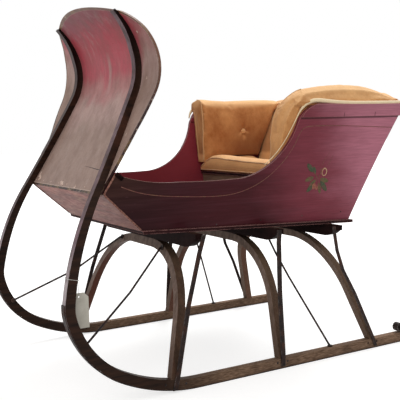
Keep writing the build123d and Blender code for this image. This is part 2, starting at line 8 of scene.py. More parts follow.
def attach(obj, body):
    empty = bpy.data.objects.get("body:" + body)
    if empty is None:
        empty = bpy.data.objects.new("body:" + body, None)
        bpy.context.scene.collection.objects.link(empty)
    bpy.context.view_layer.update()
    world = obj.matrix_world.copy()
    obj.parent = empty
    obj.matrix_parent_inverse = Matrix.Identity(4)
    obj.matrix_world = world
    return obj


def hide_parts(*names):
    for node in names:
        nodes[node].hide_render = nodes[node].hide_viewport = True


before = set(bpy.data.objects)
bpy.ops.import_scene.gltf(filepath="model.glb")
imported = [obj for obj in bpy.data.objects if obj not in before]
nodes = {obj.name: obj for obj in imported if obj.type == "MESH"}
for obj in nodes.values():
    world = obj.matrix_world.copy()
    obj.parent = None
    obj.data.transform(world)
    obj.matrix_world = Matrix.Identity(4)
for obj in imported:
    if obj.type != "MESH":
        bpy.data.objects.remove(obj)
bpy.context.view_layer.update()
scene = bpy.context.scene
scene.view_settings.view_transform = "Standard"
print("frame loaded,", len(nodes), "nodes")

view = {
    "place": (1.56845, 2.7103, 0.9267),
    "azimuth": 149.844,      # degrees, from -y towards +x
    "pitch": 5.654,          # degrees downward
    "roll": -1.5,
    "focal": 748.33,         # in pixels of a square picture
    "picture": 400.0,        # its width in pixels
    "sensor": 36.0,
}


def addCamera():
    data = bpy.data.cameras.new("viewCamera")
    data.sensor_width = view["sensor"]
    data.lens = view["focal"] / view["picture"] * view["sensor"]
    data.clip_start = 0.05
    data.clip_end = 60.0
    camera = bpy.data.objects.new("viewCamera", data)
    scene.collection.objects.link(camera)
    a, p, r = (math.radians(view[k]) for k in ("azimuth", "pitch", "roll"))
    back = Vector((math.sin(a) * math.cos(p), -math.cos(a) * math.cos(p), math.sin(p)))
    right = (-back).cross(Vector((0, 0, 1))).normalized()
    up = right.cross(-back)
    rolledRight = math.cos(r) * right + math.sin(r) * up
    rolledUp = -math.sin(r) * right + math.cos(r) * up
    turn = Matrix((rolledRight, rolledUp, back)).transposed().to_4x4()
    camera.matrix_world = Matrix.Translation(view["place"]) @ turn
    scene.camera = camera


addCamera()


stringRun = {
    "points": [
        (0.70673, 0.40084, 0.43298),
        (0.70585, 0.39490, 0.43276),
        (0.70460, 0.38652, 0.43245),
        (0.71400, 0.38652, 0.43481),
        (0.73310, 0.38652, 0.43960),
        (0.74253, 0.38652, 0.44196),
        (0.74253, 0.39600, 0.44196),
        (0.74253, 0.41360, 0.44196),
        (0.74253, 0.42315, 0.44196),
        (0.73310, 0.42315, 0.43960),
        (0.71400, 0.42315, 0.43481),
        (0.70460, 0.42315, 0.43245),
        (0.70340, 0.41400, 0.43215),
        (0.70218, 0.40484, 0.43184),
        (0.70125, 0.40275, 0.42200),
        (0.69661, 0.39240, 0.37400),
    ],
    "diameter": 0.0016,
    "length": 0.197,
}


def addString():
    curve = bpy.data.curves.new("tagString", "CURVE")
    curve.dimensions = "3D"
    curve.resolution_u = 6
    curve.bevel_depth = 0.08    # the points' small radii bring this down to half the diameter
    curve.bevel_resolution = 3
    curve.use_fill_caps = True
    spline = curve.splines.new("NURBS")
    spline.points.add(len(stringRun["points"]) - 1)
    for point, place in zip(spline.points, stringRun["points"]):
        point.co = (*place, 1.0)
        point.radius = stringRun["diameter"] / 2 / curve.bevel_depth
    spline.order_u = 3
    spline.use_endpoint_u = True
    string = bpy.data.objects.new("tagString", curve)
    scene.collection.objects.link(string)
    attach(string, "root")
    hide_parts("tag_string")
    return string


tagString = addString()
print("camera and string made")


def tint(red, green, blue):
    # 0-255 screen colour to linear
    def linear(v):
        v /= 255.0
        return v / 12.92 if v <= 0.04045 else ((v + 0.055) / 1.055) ** 2.4
    return (linear(red), linear(green), linear(blue), 1.0)


def feed(tree, socket, value):
    if isinstance(value, bpy.types.NodeSocket):
        tree.links.new(value, socket)
    else:
        socket.default_value = value


def put(tree, kind, settings=None, **inputs):
    # at0, at1 and so on are sockets by number; the rest go by name, with _ for a space
    node = tree.nodes.new("ShaderNode" + kind)
    for key, value in (settings or {}).items():
        setattr(node, key, value)
    for key, value in inputs.items():
        numbered = key.startswith("at") and key[2:].isdigit()
        feed(tree, node.inputs[int(key[2:]) if numbered else key.replace("_", " ")], value)
    return node


def calc(tree, operation, a, b=0.0, c=0.0, clamp=False):
    return put(tree, "Math", {"operation": operation, "use_clamp": clamp}, at0=a, at1=b, at2=c).outputs[0]


def times(tree, *values, clamp=False):
    product = values[0]
    for value in values[1:]:
        product = calc(tree, "MULTIPLY", product, value, clamp=clamp)
    return product


def axes(tree, vector):
    return put(tree, "SeparateXYZ", None, Vector=vector).outputs


def blend(tree, amount, a, b):
    return put(tree, "Mix", {"data_type": "RGBA"}, at0=amount, at6=a, at7=b).outputs[2]


def span(tree, value, low, high, toLow=0.0, toHigh=1.0):
    limits = {"From_Min": low, "From_Max": high, "To_Min": toLow, "To_Max": toHigh}
    return put(tree, "MapRange", {"clamp": True}, Value=value, **limits).outputs[0]


def stretched(tree, vector, scale=(1.0, 1.0, 1.0), location=(0.0, 0.0, 0.0), rotation=(0.0, 0.0, 0.0)):
    moves = {"Scale": scale, "Location": location, "Rotation": rotation}
    return put(tree, "Mapping", None, Vector=vector, **moves).outputs[0]


def cloud(tree, vector, scale, detail=4.0, roughness=0.55, distortion=0.0):
    grades = {"Scale": scale, "Detail": detail, "Roughness": roughness, "Distortion": distortion}
    return put(tree, "TexNoise", None, Vector=vector, **grades).outputs["Fac"]


def newGroup(name, inputs, outputs):
    tree = bpy.data.node_groups.new(name, "ShaderNodeTree")
    for label, kind, value in inputs:
        socket = tree.interface.new_socket(label, in_out="INPUT", socket_type="NodeSocket" + kind)
        if value is not None:
            socket.default_value = value
    for label, kind in outputs:
        tree.interface.new_socket(label, in_out="OUTPUT", socket_type="NodeSocket" + kind)
    return tree, tree.nodes.new("NodeGroupInput").outputs, tree.nodes.new("NodeGroupOutput").inputs


def blankTree(owner):
    owner.use_nodes = True
    owner.node_tree.nodes.clear()
    return owner.node_tree


def useGroup(tree, group, **inputs):
    return put(tree, "Group", {"node_tree": group}, **inputs).outputs


def giveOut(tree, give, **values):
    # joins values to a group's outputs
    for label, value in values.items():
        tree.links.new(value, give[label])
    return tree


def wornEdgeGroup():
    # mask of rubbed corners, broken up by noise
    tree, get, give = newGroup(
        "wornEdge",
        [("Vector", "Vector", None), ("Width", "Float", 0.006), ("Scale", "Float", 60.0),
         ("Amount", "Float", 0.5)],
        [("Mask", "Float")],
    )
    contrast = 9.0
    rounded = put(tree, "Bevel", {"samples": 4}, Radius=get["Width"]).outputs[0]
    flat = put(tree, "NewGeometry").outputs["Normal"]
    turn = put(tree, "VectorMath", {"operation": "DOT_PRODUCT"}, at0=rounded, at1=flat).outputs["Value"]
    edge = times(tree, calc(tree, "SUBTRACT", 1.0, turn), contrast, clamp=True)
    patches = cloud(tree, get["Vector"], get["Scale"], 5.0, 0.65)
    start = calc(tree, "SUBTRACT", 0.78, times(tree, get["Amount"], 0.5))
    worn = times(tree, calc(tree, "SUBTRACT", patches, start), contrast, clamp=True)
    return giveOut(tree, give, Mask=times(tree, worn, edge, clamp=True))


def grainGroup():
    # streaks along X of the vector that it is given, with a height for bump
    tree, get, give = newGroup(
        "boardGrain",
        [("Vector", "Vector", None), ("Scale", "Float", 20.0), ("Stretch", "Float", 14.0)],
        [("Streaks", "Float"), ("Fine", "Float"), ("Height", "Float")],
    )
    share = calc(tree, "DIVIDE", 1.0, get["Stretch"])
    squeeze = put(tree, "CombineXYZ", None, X=share, Y=1.0, Z=1.0).outputs[0]
    along = put(tree, "VectorMath", {"operation": "MULTIPLY"}, at0=get["Vector"], at1=squeeze).outputs[0]
    streaks = cloud(tree, along, get["Scale"], 5.0, 0.6, 0.3)
    fine = cloud(tree, along, times(tree, get["Scale"], 7.0), 3.0, 0.6)
    height = calc(tree, "ADD", times(tree, streaks, 0.6), times(tree, fine, 0.4))
    return giveOut(tree, give, Streaks=streaks, Fine=fine, Height=height)


def chipGroup():
    # small flakes and scratches where paint has gone
    tree, get, give = newGroup(
        "paintChips",
        [("Vector", "Vector", None), ("Scale", "Float", 30.0), ("Amount", "Float", 0.3)],
        [("Flakes", "Float"), ("Scratches", "Float")],
    )
    finer = times(tree, get["Scale"], 2.0)
    wobble = put(tree, "TexNoise", None, Vector=get["Vector"], Scale=finer).outputs["Color"]
    shift = put(tree, "VectorMath", {"operation": "SCALE"}, at0=wobble, Scale=0.012).outputs[0]
    bent = put(tree, "VectorMath", {"operation": "ADD"}, at0=get["Vector"], at1=shift).outputs[0]
    lines = stretched(tree, bent, (1.0, 1.0, 9.0), rotation=(0.25, 0.35, 0.2))
    flakes = cloud(tree, bent, get["Scale"], 6.0, 0.7)
    scratches = cloud(tree, lines, times(tree, get["Scale"], 0.8), 2.0, 0.4)

    def cut(pattern, limit, share, contrast):
        # what stands above a limit that falls as the amount grows
        start = calc(tree, "SUBTRACT", limit, times(tree, get["Amount"], share))
        return times(tree, calc(tree, "SUBTRACT", pattern, start), contrast, clamp=True)

    return giveOut(
        tree, give, Flakes=cut(flakes, 0.80, 0.22, 22.0), Scratches=cut(scratches, 0.76, 0.1, 14.0),
    )


def dustGroup():
    # pale dust that lies on faces that look up
    tree, get, give = newGroup(
        "dust", [("Vector", "Vector", None), ("Amount", "Float", 0.4)], [("Mask", "Float")],
    )
    lying = span(tree, axes(tree, put(tree, "NewGeometry").outputs["Normal"])["Z"], 0.2, 1.0)
    patches = span(tree, cloud(tree, get["Vector"], 18.0, 5.0, 0.6), 0.3, 0.75)
    mask = times(tree, lying, patches, get["Amount"], clamp=True)
    return giveOut(tree, give, Mask=mask)


def napGroup():
    # short pile that lies in patches
    tree, get, give = newGroup(
        "plushNap", [("Vector", "Vector", None), ("Scale", "Float", 1.0)],
        [("Tone", "Float"), ("Speckle", "Float"), ("Height", "Float")],
    )
    place = put(tree, "VectorMath", {"operation": "SCALE"}, at0=get["Vector"], Scale=get["Scale"]).outputs[0]
    brushed = cloud(tree, stretched(tree, place, (1.0, 1.0, 0.8)), 12.0, 7.0, 0.66, 0.0)
    pile = cloud(tree, place, 420.0, 2.0, 0.6)
    speck = cloud(tree, place, 950.0, 1.0, 0.5)
    height = calc(tree, "ADD", times(tree, pile, 0.6), times(tree, speck, 0.4))
    return giveOut(tree, give, Tone=brushed, Speckle=pile, Height=height)


wornEdge = wornEdgeGroup()
boardGrain = grainGroup()
paintChips = chipGroup()
dust = dustGroup()
plushNap = napGroup()


def newMaterial(name, **numbers):
    # numbers are plain values on the shader's own sockets
    material = bpy.data.materials.new(name)
    tree = blankTree(material)
    shader = put(tree, "BsdfPrincipled", None, **numbers)
    put(tree, "OutputMaterial", None, Surface=shader.outputs[0])
    return material, tree, shader, put(tree, "TexCoord").outputs["Object"]


def finished(material, shader, colour, height, strength, distance, rough=None):
    # joins a material's patterns to its shader; distance is the bump's, in metres
    tree = material.node_tree
    feed(tree, shader.inputs["Base Color"], colour)
    if rough:
        feed(tree, shader.inputs["Roughness"], rough)
    bump = put(tree, "Bump", None, Height=height, Strength=strength, Distance=distance)
    feed(tree, shader.inputs["Normal"], bump.outputs[0])
    return material


def looking(tree, axis, low, high):
    # share of a face that looks along an axis
    return span(tree, axes(tree, put(tree, "NewGeometry").outputs["Normal"])[axis], low, high)


def ramp(tree, value, paint, stops):
    # a paint's colours at (place, colour's name) stops, eased in between
    node = put(tree, "ValToRGB", None, Fac=value)
    node.color_ramp.interpolation = "EASE"
    while len(node.color_ramp.elements) < len(stops):
        node.color_ramp.elements.new(0.5)
    for element, (place, name) in zip(node.color_ramp.elements, stops):
        element.position = place
        element.color = paint[name]
    return node.outputs["Color"]


bodyPaint = {
    "front": tint(38, 7, 12), "middle": tint(68, 20, 27), "rose": tint(130, 58, 70),
    "plum": tint(196, 124, 142), "primer": tint(196, 150, 140), "grime": tint(30, 12, 13),
    "haze": tint(158, 108, 122), "olive": tint(74, 50, 34), "lining": tint(168, 62, 74),
}
# dark line under the rim moulding with two upright ticks at joints: heights, places along the side and half
# widths
rimJoint = {"z": 0.9450, "half": 0.0036, "tickZ": 0.957, "tickHigh": 0.008, "tickX": (-0.4190, -0.5810),
            "tickWide": 0.0016, "fromX": -0.205, "toX": -0.215}


def bodyPaintMaterial():
    material, tree, shader, place = newMaterial("bodyPaint", Roughness=0.4, Specular_IOR_Level=0.10)
    parts = axes(tree, place)
    # painted light and shade: the colour pales from the dark front up towards the rear, along a wandering
    # border; partly the paint's fading, partly painted shade at the front and painted light towards the rear
    fadeAndPaintedLight = calc(tree, "MULTIPLY_ADD", parts["Z"], 0.30, times(tree, parts["X"], -0.80))
    wander = calc(tree, "SUBTRACT", cloud(tree, stretched(tree, place, (0.5, 1.0, 1.3)), 5.0, 4.0, 0.6), 0.5)
    fadeAndPaintedLight = span(tree, calc(tree, "MULTIPLY_ADD", wander, 0.30, fadeAndPaintedLight), -0.25, 0.83)
    stops = ((0.0, "front"), (0.42, "middle"), (0.66, "rose"), (0.92, "plum"))
    colour = ramp(tree, fadeAndPaintedLight, bodyPaint, stops)
    grain = useGroup(tree, boardGrain, Vector=place, Scale=34.0, Stretch=22.0)
    colour = blend(tree, span(tree, grain["Streaks"], 0.48, 0.78, 0.0, 0.13), colour, bodyPaint["haze"])
    colour = blend(tree, span(tree, grain["Fine"], 0.38, 0.68, 0.0, 0.22), colour, bodyPaint["grime"])
    front = times(tree, span(tree, parts["X"], 0.30, 0.55), span(tree, parts["Z"], 0.62, 0.76))
    front = times(tree, front, span(tree, grain["Streaks"], 0.40, 0.62, 0.1, 0.6))
    colour = blend(tree, front, colour, bodyPaint["olive"])
    chips = useGroup(tree, paintChips, Vector=place, Scale=26.0, Amount=0.30)
    colour = blend(tree, times(tree, chips["Scratches"], 0.16), colour, bodyPaint["haze"])
    inside = times(tree, looking(tree, "Y", 0.3, 0.8), span(tree, parts["Y"], 0.0, -0.2))
    colour = blend(tree, times(tree, inside, 0.6), colour, bodyPaint["lining"])
    worn = useGroup(tree, wornEdge, Vector=place, Width=0.003, Scale=46.0, Amount=0.95)
    wear = calc(tree, "MAXIMUM", worn["Mask"], times(tree, chips["Flakes"], 0.22))
    colour = blend(tree, times(tree, wear, 0.72), colour, bodyPaint["primer"])
    # a dark line along the foot of the rim moulding, and dark ticks at two joints
    under = calc(tree, "COMPARE", parts["Z"], rimJoint["z"], rimJoint["half"])
    ticks = [calc(tree, "COMPARE", parts["X"], x, rimJoint["tickWide"]) for x in rimJoint["tickX"]]
    level = calc(tree, "COMPARE", parts["Z"], rimJoint["tickZ"], rimJoint["tickHigh"])
    darkLines = calc(tree, "MAXIMUM", under, times(tree, level, calc(tree, "MAXIMUM", *ticks)))
    darkLines = times(tree, darkLines, span(tree, parts["X"], rimJoint["fromX"], rimJoint["toX"]))
    colour = blend(tree, times(tree, darkLines, 0.62), colour, bodyPaint["grime"])
    rough = span(tree, grain["Streaks"], 0.3, 0.7, 0.34, 0.50)
    rough = calc(tree, "MULTIPLY_ADD", wear, 0.3, rough, clamp=True)
    height = calc(tree, "SUBTRACT", grain["Height"], wear)
    return finished(material, shader, colour, height, 0.22, 0.0012, rough)


basePaint = {"dark": tint(24, 12, 12), "red": tint(58, 30, 32), "primer": tint(190, 138, 132)}


def basePaintMaterial():
    material, tree, shader, place = newMaterial("basePaint", Roughness=0.6, Specular_IOR_Level=0.05)
    grain = useGroup(tree, boardGrain, Vector=place, Scale=30.0, Stretch=18.0)
    colour = blend(tree, span(tree, grain["Streaks"], 0.35, 0.7), basePaint["dark"], basePaint["red"])
    # painted shade: faces that look down are darker
    colour = blend(tree, looking(tree, "Z", -0.2, -0.9), colour, basePaint["dark"])
    worn = useGroup(tree, wornEdge, Vector=place, Width=0.004, Scale=40.0, Amount=0.9)
    colour = blend(tree, times(tree, worn["Mask"], 0.75), colour, basePaint["primer"])
    settled = useGroup(tree, dust, Vector=place, Amount=0.14)
    colour = blend(tree, settled["Mask"], colour, basePaint["primer"])
    return finished(material, shader, colour, grain["Height"], 0.3, 0.001)


toePaint = {
    "salmon": tint(184, 110, 98), "brown": tint(120, 68, 60), "bare": tint(192, 142, 114),
    "grime": tint(62, 40, 38),
}


def toePaintMaterial():
    material, tree, shader, place = newMaterial("toePaint", Roughness=0.5, Specular_IOR_Level=0.12)
    across = stretched(tree, place, rotation=(0.0, 0.0, math.pi / 2))
    grain = useGroup(tree, boardGrain, Vector=across, Scale=30.0, Stretch=9.0)
    parts = axes(tree, place)
    colour = blend(tree, span(tree, grain["Streaks"], 0.34, 0.66), toePaint["brown"], toePaint["salmon"])
    colour = blend(tree, span(tree, parts["Z"], 0.70, 0.60, 0.0, 0.45), colour, toePaint["brown"])
    colour = blend(tree, span(tree, parts["Y"], 0.05, 0.34, 0.0, 0.55), colour, toePaint["brown"])
    stain = span(tree, cloud(tree, stretched(tree, place, (1.0, 0.45, 1.0)), 16.0, 5.0, 0.65), 0.50, 0.70)
    colour = blend(tree, times(tree, stain, 0.45), colour, toePaint["bare"])
    colour = blend(tree, span(tree, grain["Fine"], 0.42, 0.66, 0.0, 0.4), colour, toePaint["grime"])
    chips = useGroup(tree, paintChips, Vector=place, Scale=28.0, Amount=0.6)
    colour = blend(tree, times(tree, chips["Flakes"], 0.5), colour, toePaint["bare"])
    worn = useGroup(tree, wornEdge, Vector=place, Width=0.004, Scale=50.0, Amount=0.9)
    colour = blend(tree, times(tree, worn["Mask"], 0.8), colour, toePaint["bare"])
    rough = span(tree, grain["Fine"], 0.3, 0.7, 0.38, 0.58)
    return finished(material, shader, colour, grain["Height"], 0.35, 0.0014, rough)


dashPaint = {
    "rose": tint(196, 92, 104), "crimson": tint(186, 70, 84), "mauve": tint(150, 70, 84),
    "pink": tint(192, 134, 132), "blush": tint(196, 164, 156), "taupe": tint(172, 146, 134),
    "pale": tint(204, 184, 176), "dirt": tint(112, 82, 74), "chip": tint(232, 208, 192),
    # the board's colours from its foot to its top
    "lowZ": 0.70, "highZ": 1.37,
    "bands": ((0.0, "taupe"), (0.30, "taupe"), (0.46, "blush"), (0.56, "pink"),
              (0.66, "rose"), (0.84, "crimson"), (0.97, "mauve")),
    "rayY": 0.02,            # the pale streak down the middle, a painted highlight
}


def dashPaintMaterial():
    material, tree, shader, place = newMaterial("dashPaint", Roughness=0.36, Specular_IOR_Level=0.3, IOR=1.2)
    parts = axes(tree, place)
    height = parts["Z"]
    side = calc(tree, "ABSOLUTE", parts["Y"])
    wander = calc(tree, "SUBTRACT", cloud(tree, stretched(tree, place, (1.0, 1.0, 0.20)), 8.0, 4.0, 0.6), 0.5)
    level = calc(tree, "MULTIPLY_ADD", wander, 0.20, height)
    level = calc(tree, "SUBTRACT", level, span(tree, side, 0.275, 0.33, 0.0, 0.17))
    level = span(tree, level, dashPaint["lowZ"], dashPaint["highZ"])
    colour = ramp(tree, level, dashPaint, dashPaint["bands"])
    near = times(tree, span(tree, parts["Y"], 0.29, 0.34, 0.0, 0.34), span(tree, height, 0.95, 1.10))
    colour = blend(tree, near, colour, dashPaint["dirt"])
    # painted highlight: a pale upright streak down the middle of the dash
    away = calc(tree, "ABSOLUTE", calc(tree, "SUBTRACT", parts["Y"], dashPaint["rayY"]))
    band = times(tree, span(tree, height, 1.03, 1.10), span(tree, height, 1.22, 1.17))
    ray = times(tree, span(tree, away, 0.020, 0.004), band)
    colour = blend(tree, times(tree, ray, 0.5), colour, dashPaint["pale"])
    smears = span(tree, cloud(tree, stretched(tree, place, (1.0, 1.0, 0.7)), 14.0, 7.0, 0.72), 0.42, 0.68)
    colour = blend(tree, times(tree, smears, 0.42), colour, dashPaint["dirt"])
    # pale upright streaks, painted highlights in the gloss
    streaks = span(tree, cloud(tree, stretched(tree, place, (1.0, 1.0, 0.09)), 22.0, 4.0, 0.62), 0.55, 0.80)
    colour = blend(tree, times(tree, streaks, 0.34), colour, dashPaint["pale"])
    upright = stretched(tree, place, rotation=(0.0, math.pi / 2, 0.0))
    grain = useGroup(tree, boardGrain, Vector=upright, Scale=60.0, Stretch=14.0)
    colour = blend(tree, span(tree, grain["Fine"], 0.42, 0.72, 0.0, 0.28), colour, dashPaint["dirt"])
    chips = useGroup(tree, paintChips, Vector=place, Scale=36.0, Amount=0.34)
    colour = blend(tree, times(tree, chips["Flakes"], 0.7), colour, dashPaint["chip"])
    colour = blend(tree, times(tree, chips["Scratches"], 0.22), colour, dashPaint["dirt"])
    worn = useGroup(tree, wornEdge, Vector=place, Width=0.004, Scale=34.0, Amount=0.9)
    worn = times(tree, worn["Mask"], span(tree, height, 1.34, 1.24, 0.15, 0.8))
    colour = blend(tree, worn, colour, dashPaint["chip"])
    rough = span(tree, grain["Streaks"], 0.3, 0.7, 0.27, 0.46)
    bumps = calc(tree, "SUBTRACT", grain["Height"], chips["Flakes"])
    return finished(material, shader, colour, bumps, 0.2, 0.001, rough)


bindingPaint = {
    "dark": tint(44, 20, 20), "brass": tint(150, 122, 84), "rose": tint(118, 82, 66),
    "pale": tint(216, 194, 178),
}


def bindingMaterial():
    material, tree, shader, place = newMaterial("dashBinding", Roughness=0.45, Specular_IOR_Level=0.25)
    height = axes(tree, place)["Z"]
    colour = blend(tree, span(tree, height, 0.98, 1.16), bindingPaint["dark"], bindingPaint["rose"])
    patches = cloud(tree, place, 22.0, 6.0, 0.7)
    colour = blend(tree, span(tree, patches, 0.50, 0.64, 0.0, 0.65), colour, bindingPaint["brass"])
    aside = stretched(tree, place, location=(0.3, 0.1, 0.2))
    bare = span(tree, cloud(tree, aside, 30.0, 5.0, 0.7), 0.60, 0.67)
    colour = blend(tree, times(tree, bare, 0.7), colour, bindingPaint["pale"])
    return finished(material, shader, colour, patches, 0.3, 0.001)


# a bar's front face is paler than its side, a painted reflection, and the runner's rubbed colour is a painted
# highlight at its bend; the paint is rubbed off from wornFrom on towards wornTo
woodLooks = {
    "runnerWood": {
        "paint": tint(30, 20, 16), "warm": tint(56, 37, 28), "front": tint(132, 106, 115),
        "bare": tint(150, 122, 100), "amount": 0.5, "wornFrom": 0.42, "wornTo": 0.16, "shine": 0.08,
        "rubbed": tint(198, 186, 188), "rust": tint(82, 50, 38), "soot": tint(18, 8, 9),
    },
    "archWood": {
        "paint": tint(46, 32, 26), "warm": tint(76, 49, 38), "front": tint(150, 128, 118),
        "bare": tint(150, 126, 102), "amount": 0.6, "wornFrom": 0.9, "wornTo": -2.4, "shine": 0.08,
        "red": tint(104, 54, 46),
    },
    "crossbarWood": {
        "paint": tint(20, 11, 11), "warm": tint(38, 22, 20), "front": tint(40, 24, 23),
        "bare": tint(130, 96, 80), "amount": 0.35, "wornFrom": 4.0, "wornTo": 5.0, "shine": 0.01,
    },
}


def woodMaterial(name, turn=(0.0, 0.0, 0.0)):
    look = woodLooks[name]
    runner = name == "runnerWood"
    material, tree, shader, place = newMaterial(name, Roughness=0.5, Specular_IOR_Level=look["shine"])
    grain = useGroup(tree, boardGrain, Vector=stretched(tree, place, rotation=turn), Scale=60.0, Stretch=10.0)
    colour = blend(tree, span(tree, grain["Streaks"], 0.36, 0.68), look["paint"], look["warm"])
    parts = axes(tree, place)
    height = parts["Z"]
    patches = cloud(tree, place, 9.0, 6.0, 0.65)
    # painted reflection: faces that look forward take the front colour in patches, none near the floor, and
    # less on the far runner up the dash
    paintedReflection = times(tree, looking(tree, "X", 0.45, 0.85), span(tree, patches, 0.30, 0.62, 0.35, 1.0))
    paintedReflection = times(tree, paintedReflection, span(tree, height, 0.03, 0.30))
    flecks = span(tree, cloud(tree, stretched(tree, place, (1.0, 1.0, 0.4)), 48.0, 5.0, 0.7), 0.38, 0.60)
    paintedReflection = times(tree, paintedReflection, calc(tree, "MULTIPLY_ADD", flecks, 0.7, 0.3))
    if runner:
        far = times(tree, span(tree, parts["Y"], 0.1, -0.1), span(tree, height, 0.5, 0.7))
        paintedReflection = times(tree, paintedReflection, calc(tree, "SUBTRACT", 1.0, times(tree, far, 0.75)))
    colour = blend(tree, paintedReflection, colour, look["front"])
    if runner:
        # a painted highlight at the bend, rusty and then sooty up the dash
        bend = times(tree, span(tree, height, 0.16, 0.30), span(tree, height, 0.56, 0.42))
        rubbed = times(tree, span(tree, paintedReflection, 0.1, 0.6), bend, 0.75)
        colour = blend(tree, rubbed, colour, look["rubbed"])
        rust = times(tree, span(tree, height, 0.72, 0.95), span(tree, height, 1.16, 1.02))
        rust = times(tree, rust, span(tree, patches, 0.40, 0.62, 0.0, 0.7), looking(tree, "X", 0.6, 0.1))
        colour = blend(tree, rust, colour, look["rust"])
        soot = times(tree, span(tree, height, 1.02, 1.14), looking(tree, "X", 0.6, 0.1))
        colour = blend(tree, times(tree, soot, 0.8), colour, look["soot"])
    if name == "archWood":
        red = span(tree, parts["Y"], -0.05, -0.30, 0.0, 0.6)
        colour = blend(tree, times(tree, red, looking(tree, "X", 1.0, 0.2)), colour, look["red"])
    bare = span(tree, parts["X"], look["wornFrom"], look["wornTo"])
    bare = times(tree, bare, span(tree, patches, 0.22, 0.5, 0.35, 1.0))
    if runner:
        bare = times(tree, bare, span(tree, height, 0.0, 0.012, 0.25, 1.0))
    worn = useGroup(tree, wornEdge, Vector=place, Width=0.004, Scale=36.0, Amount=look["amount"])
    bare = calc(tree, "MAXIMUM", bare, times(tree, worn["Mask"], 0.7))
    aged = blend(tree, span(tree, grain["Fine"], 0.36, 0.64, 0.0, 0.75), look["bare"], look["warm"])
    colour = blend(tree, bare, colour, aged)
    settled = useGroup(tree, dust, Vector=place, Amount=0.30)
    colour = blend(tree, settled["Mask"], colour, look["bare"])
    bumps = calc(tree, "MULTIPLY_ADD", bare, -0.4, grain["Height"])
    rough = span(tree, bare, 0.0, 1.0, 0.40, 0.72)
    return finished(material, shader, colour, bumps, 0.35, 0.0012, rough)


ironLook = {
    "dark": tint(30, 23, 22), "grey": tint(58, 46, 43), "rust": tint(96, 64, 50),
    "rub": tint(140, 130, 126),
}


def ironMaterial():
    material, tree, shader, place = newMaterial("forgedIron", Roughness=0.55, Specular_IOR_Level=0.12)
    scale = cloud(tree, place, 60.0, 5.0, 0.65)
    colour = blend(tree, span(tree, scale, 0.4, 0.7), ironLook["dark"], ironLook["grey"])
    rust = span(tree, cloud(tree, place, 22.0, 6.0, 0.7), 0.50, 0.70)
    colour = blend(tree, times(tree, rust, 0.6), colour, ironLook["rust"])
    worn = useGroup(tree, wornEdge, Vector=place, Width=0.003, Scale=40.0, Amount=0.6)
    colour = blend(tree, times(tree, worn["Mask"], 0.6), colour, ironLook["rub"])
    rough = span(tree, rust, 0.0, 1.0, 0.48, 0.8)
    return finished(material, shader, colour, scale, 0.35, 0.0008, rough)


plushLook = {
    "tan": tint(212, 142, 80), "light": tint(255, 200, 134), "deep": tint(142, 82, 38),
    "shade": tint(104, 56, 28), "top": tint(255, 208, 150), "sheen": (1.0, 0.84, 0.62, 1.0),
}


def plushMaterial():
    material, tree, shader, place = newMaterial(
        "tanPlush", Roughness=0.9, Sheen_Weight=0.25, Sheen_Roughness=0.35, Sheen_Tint=plushLook["sheen"],
    )
    nap = useGroup(tree, plushNap, Vector=place, Scale=1.0)
    colour = blend(tree, span(tree, nap["Tone"], 0.34, 0.66), plushLook["deep"], plushLook["light"])
    colour = blend(tree, 0.55, colour, plushLook["tan"])
    parts = axes(tree, place)
    height = parts["Z"]
    # painted shade low down at the rear, towards the corner
    low = times(tree, span(tree, height, 1.03, 0.82), looking(tree, "Z", 0.6, 0.1))
    low = times(tree, low, span(tree, parts["X"], -0.20, -0.43))
    colour = blend(tree, times(tree, low, 0.78), colour, plushLook["shade"])
    # painted light on faces that look forward, on the near side and on the seat's front
    faces = looking(tree, "X", 0.3, 0.9)
    front = span(tree, parts["Y"], 0.0, 0.3, 0.0, 0.42)
    front = calc(tree, "MAXIMUM", front, span(tree, height, 0.80, 0.785, 0.0, 0.62))
    colour = blend(tree, times(tree, faces, front), colour, plushLook["light"])
    # painted shade on faces that look forward on the far side, above the seat
    far = times(tree, span(tree, parts["Y"], -0.25, -0.31), span(tree, height, 0.79, 0.80, 0.0, 0.3))
    colour = blend(tree, times(tree, faces, far), colour, plushLook["shade"])
    # painted highlight on faces that look up, for the sheen of the pile
    colour = blend(tree, times(tree, looking(tree, "Z", 0.15, 0.9), 0.62), colour, plushLook["top"])
    # painted highlight along the tops of the squabs
    crown = span(tree, height, 1.012, 1.065, 0.0, 0.55)
    crown = times(tree, crown, span(tree, nap["Tone"], 0.30, 0.55, 0.55, 1.0))
    colour = blend(tree, crown, colour, plushLook["top"])
    colour = blend(tree, span(tree, nap["Speckle"], 0.35, 0.7, 0.0, 0.20), colour, plushLook["deep"])
    return finished(material, shader, colour, nap["Height"], 0.35, 0.0012)


def trimMaterial(name, light, dark, scale, strength):
    # twisted or woven trim
    material, tree, shader, place = newMaterial(name, Roughness=0.85, Sheen_Weight=0.25)
    threads = put(
        tree, "TexWave", {"wave_type": "BANDS", "bands_direction": "DIAGONAL"},
        Vector=place, Scale=scale, Distortion=1.5, Detail=2.0,
    ).outputs["Fac"]
    soil = span(tree, cloud(tree, place, 30.0, 4.0, 0.6), 0.35, 0.75)
    colour = blend(tree, span(tree, threads, 0.2, 0.9, 0.0, 0.45), light, dark)
    colour = blend(tree, times(tree, soil, 0.4), colour, dark)
    return finished(material, shader, colour, threads, strength, 0.0008)


clothLook = {"olive": tint(124, 96, 66), "brown": tint(90, 64, 42), "light": tint(156, 126, 92)}


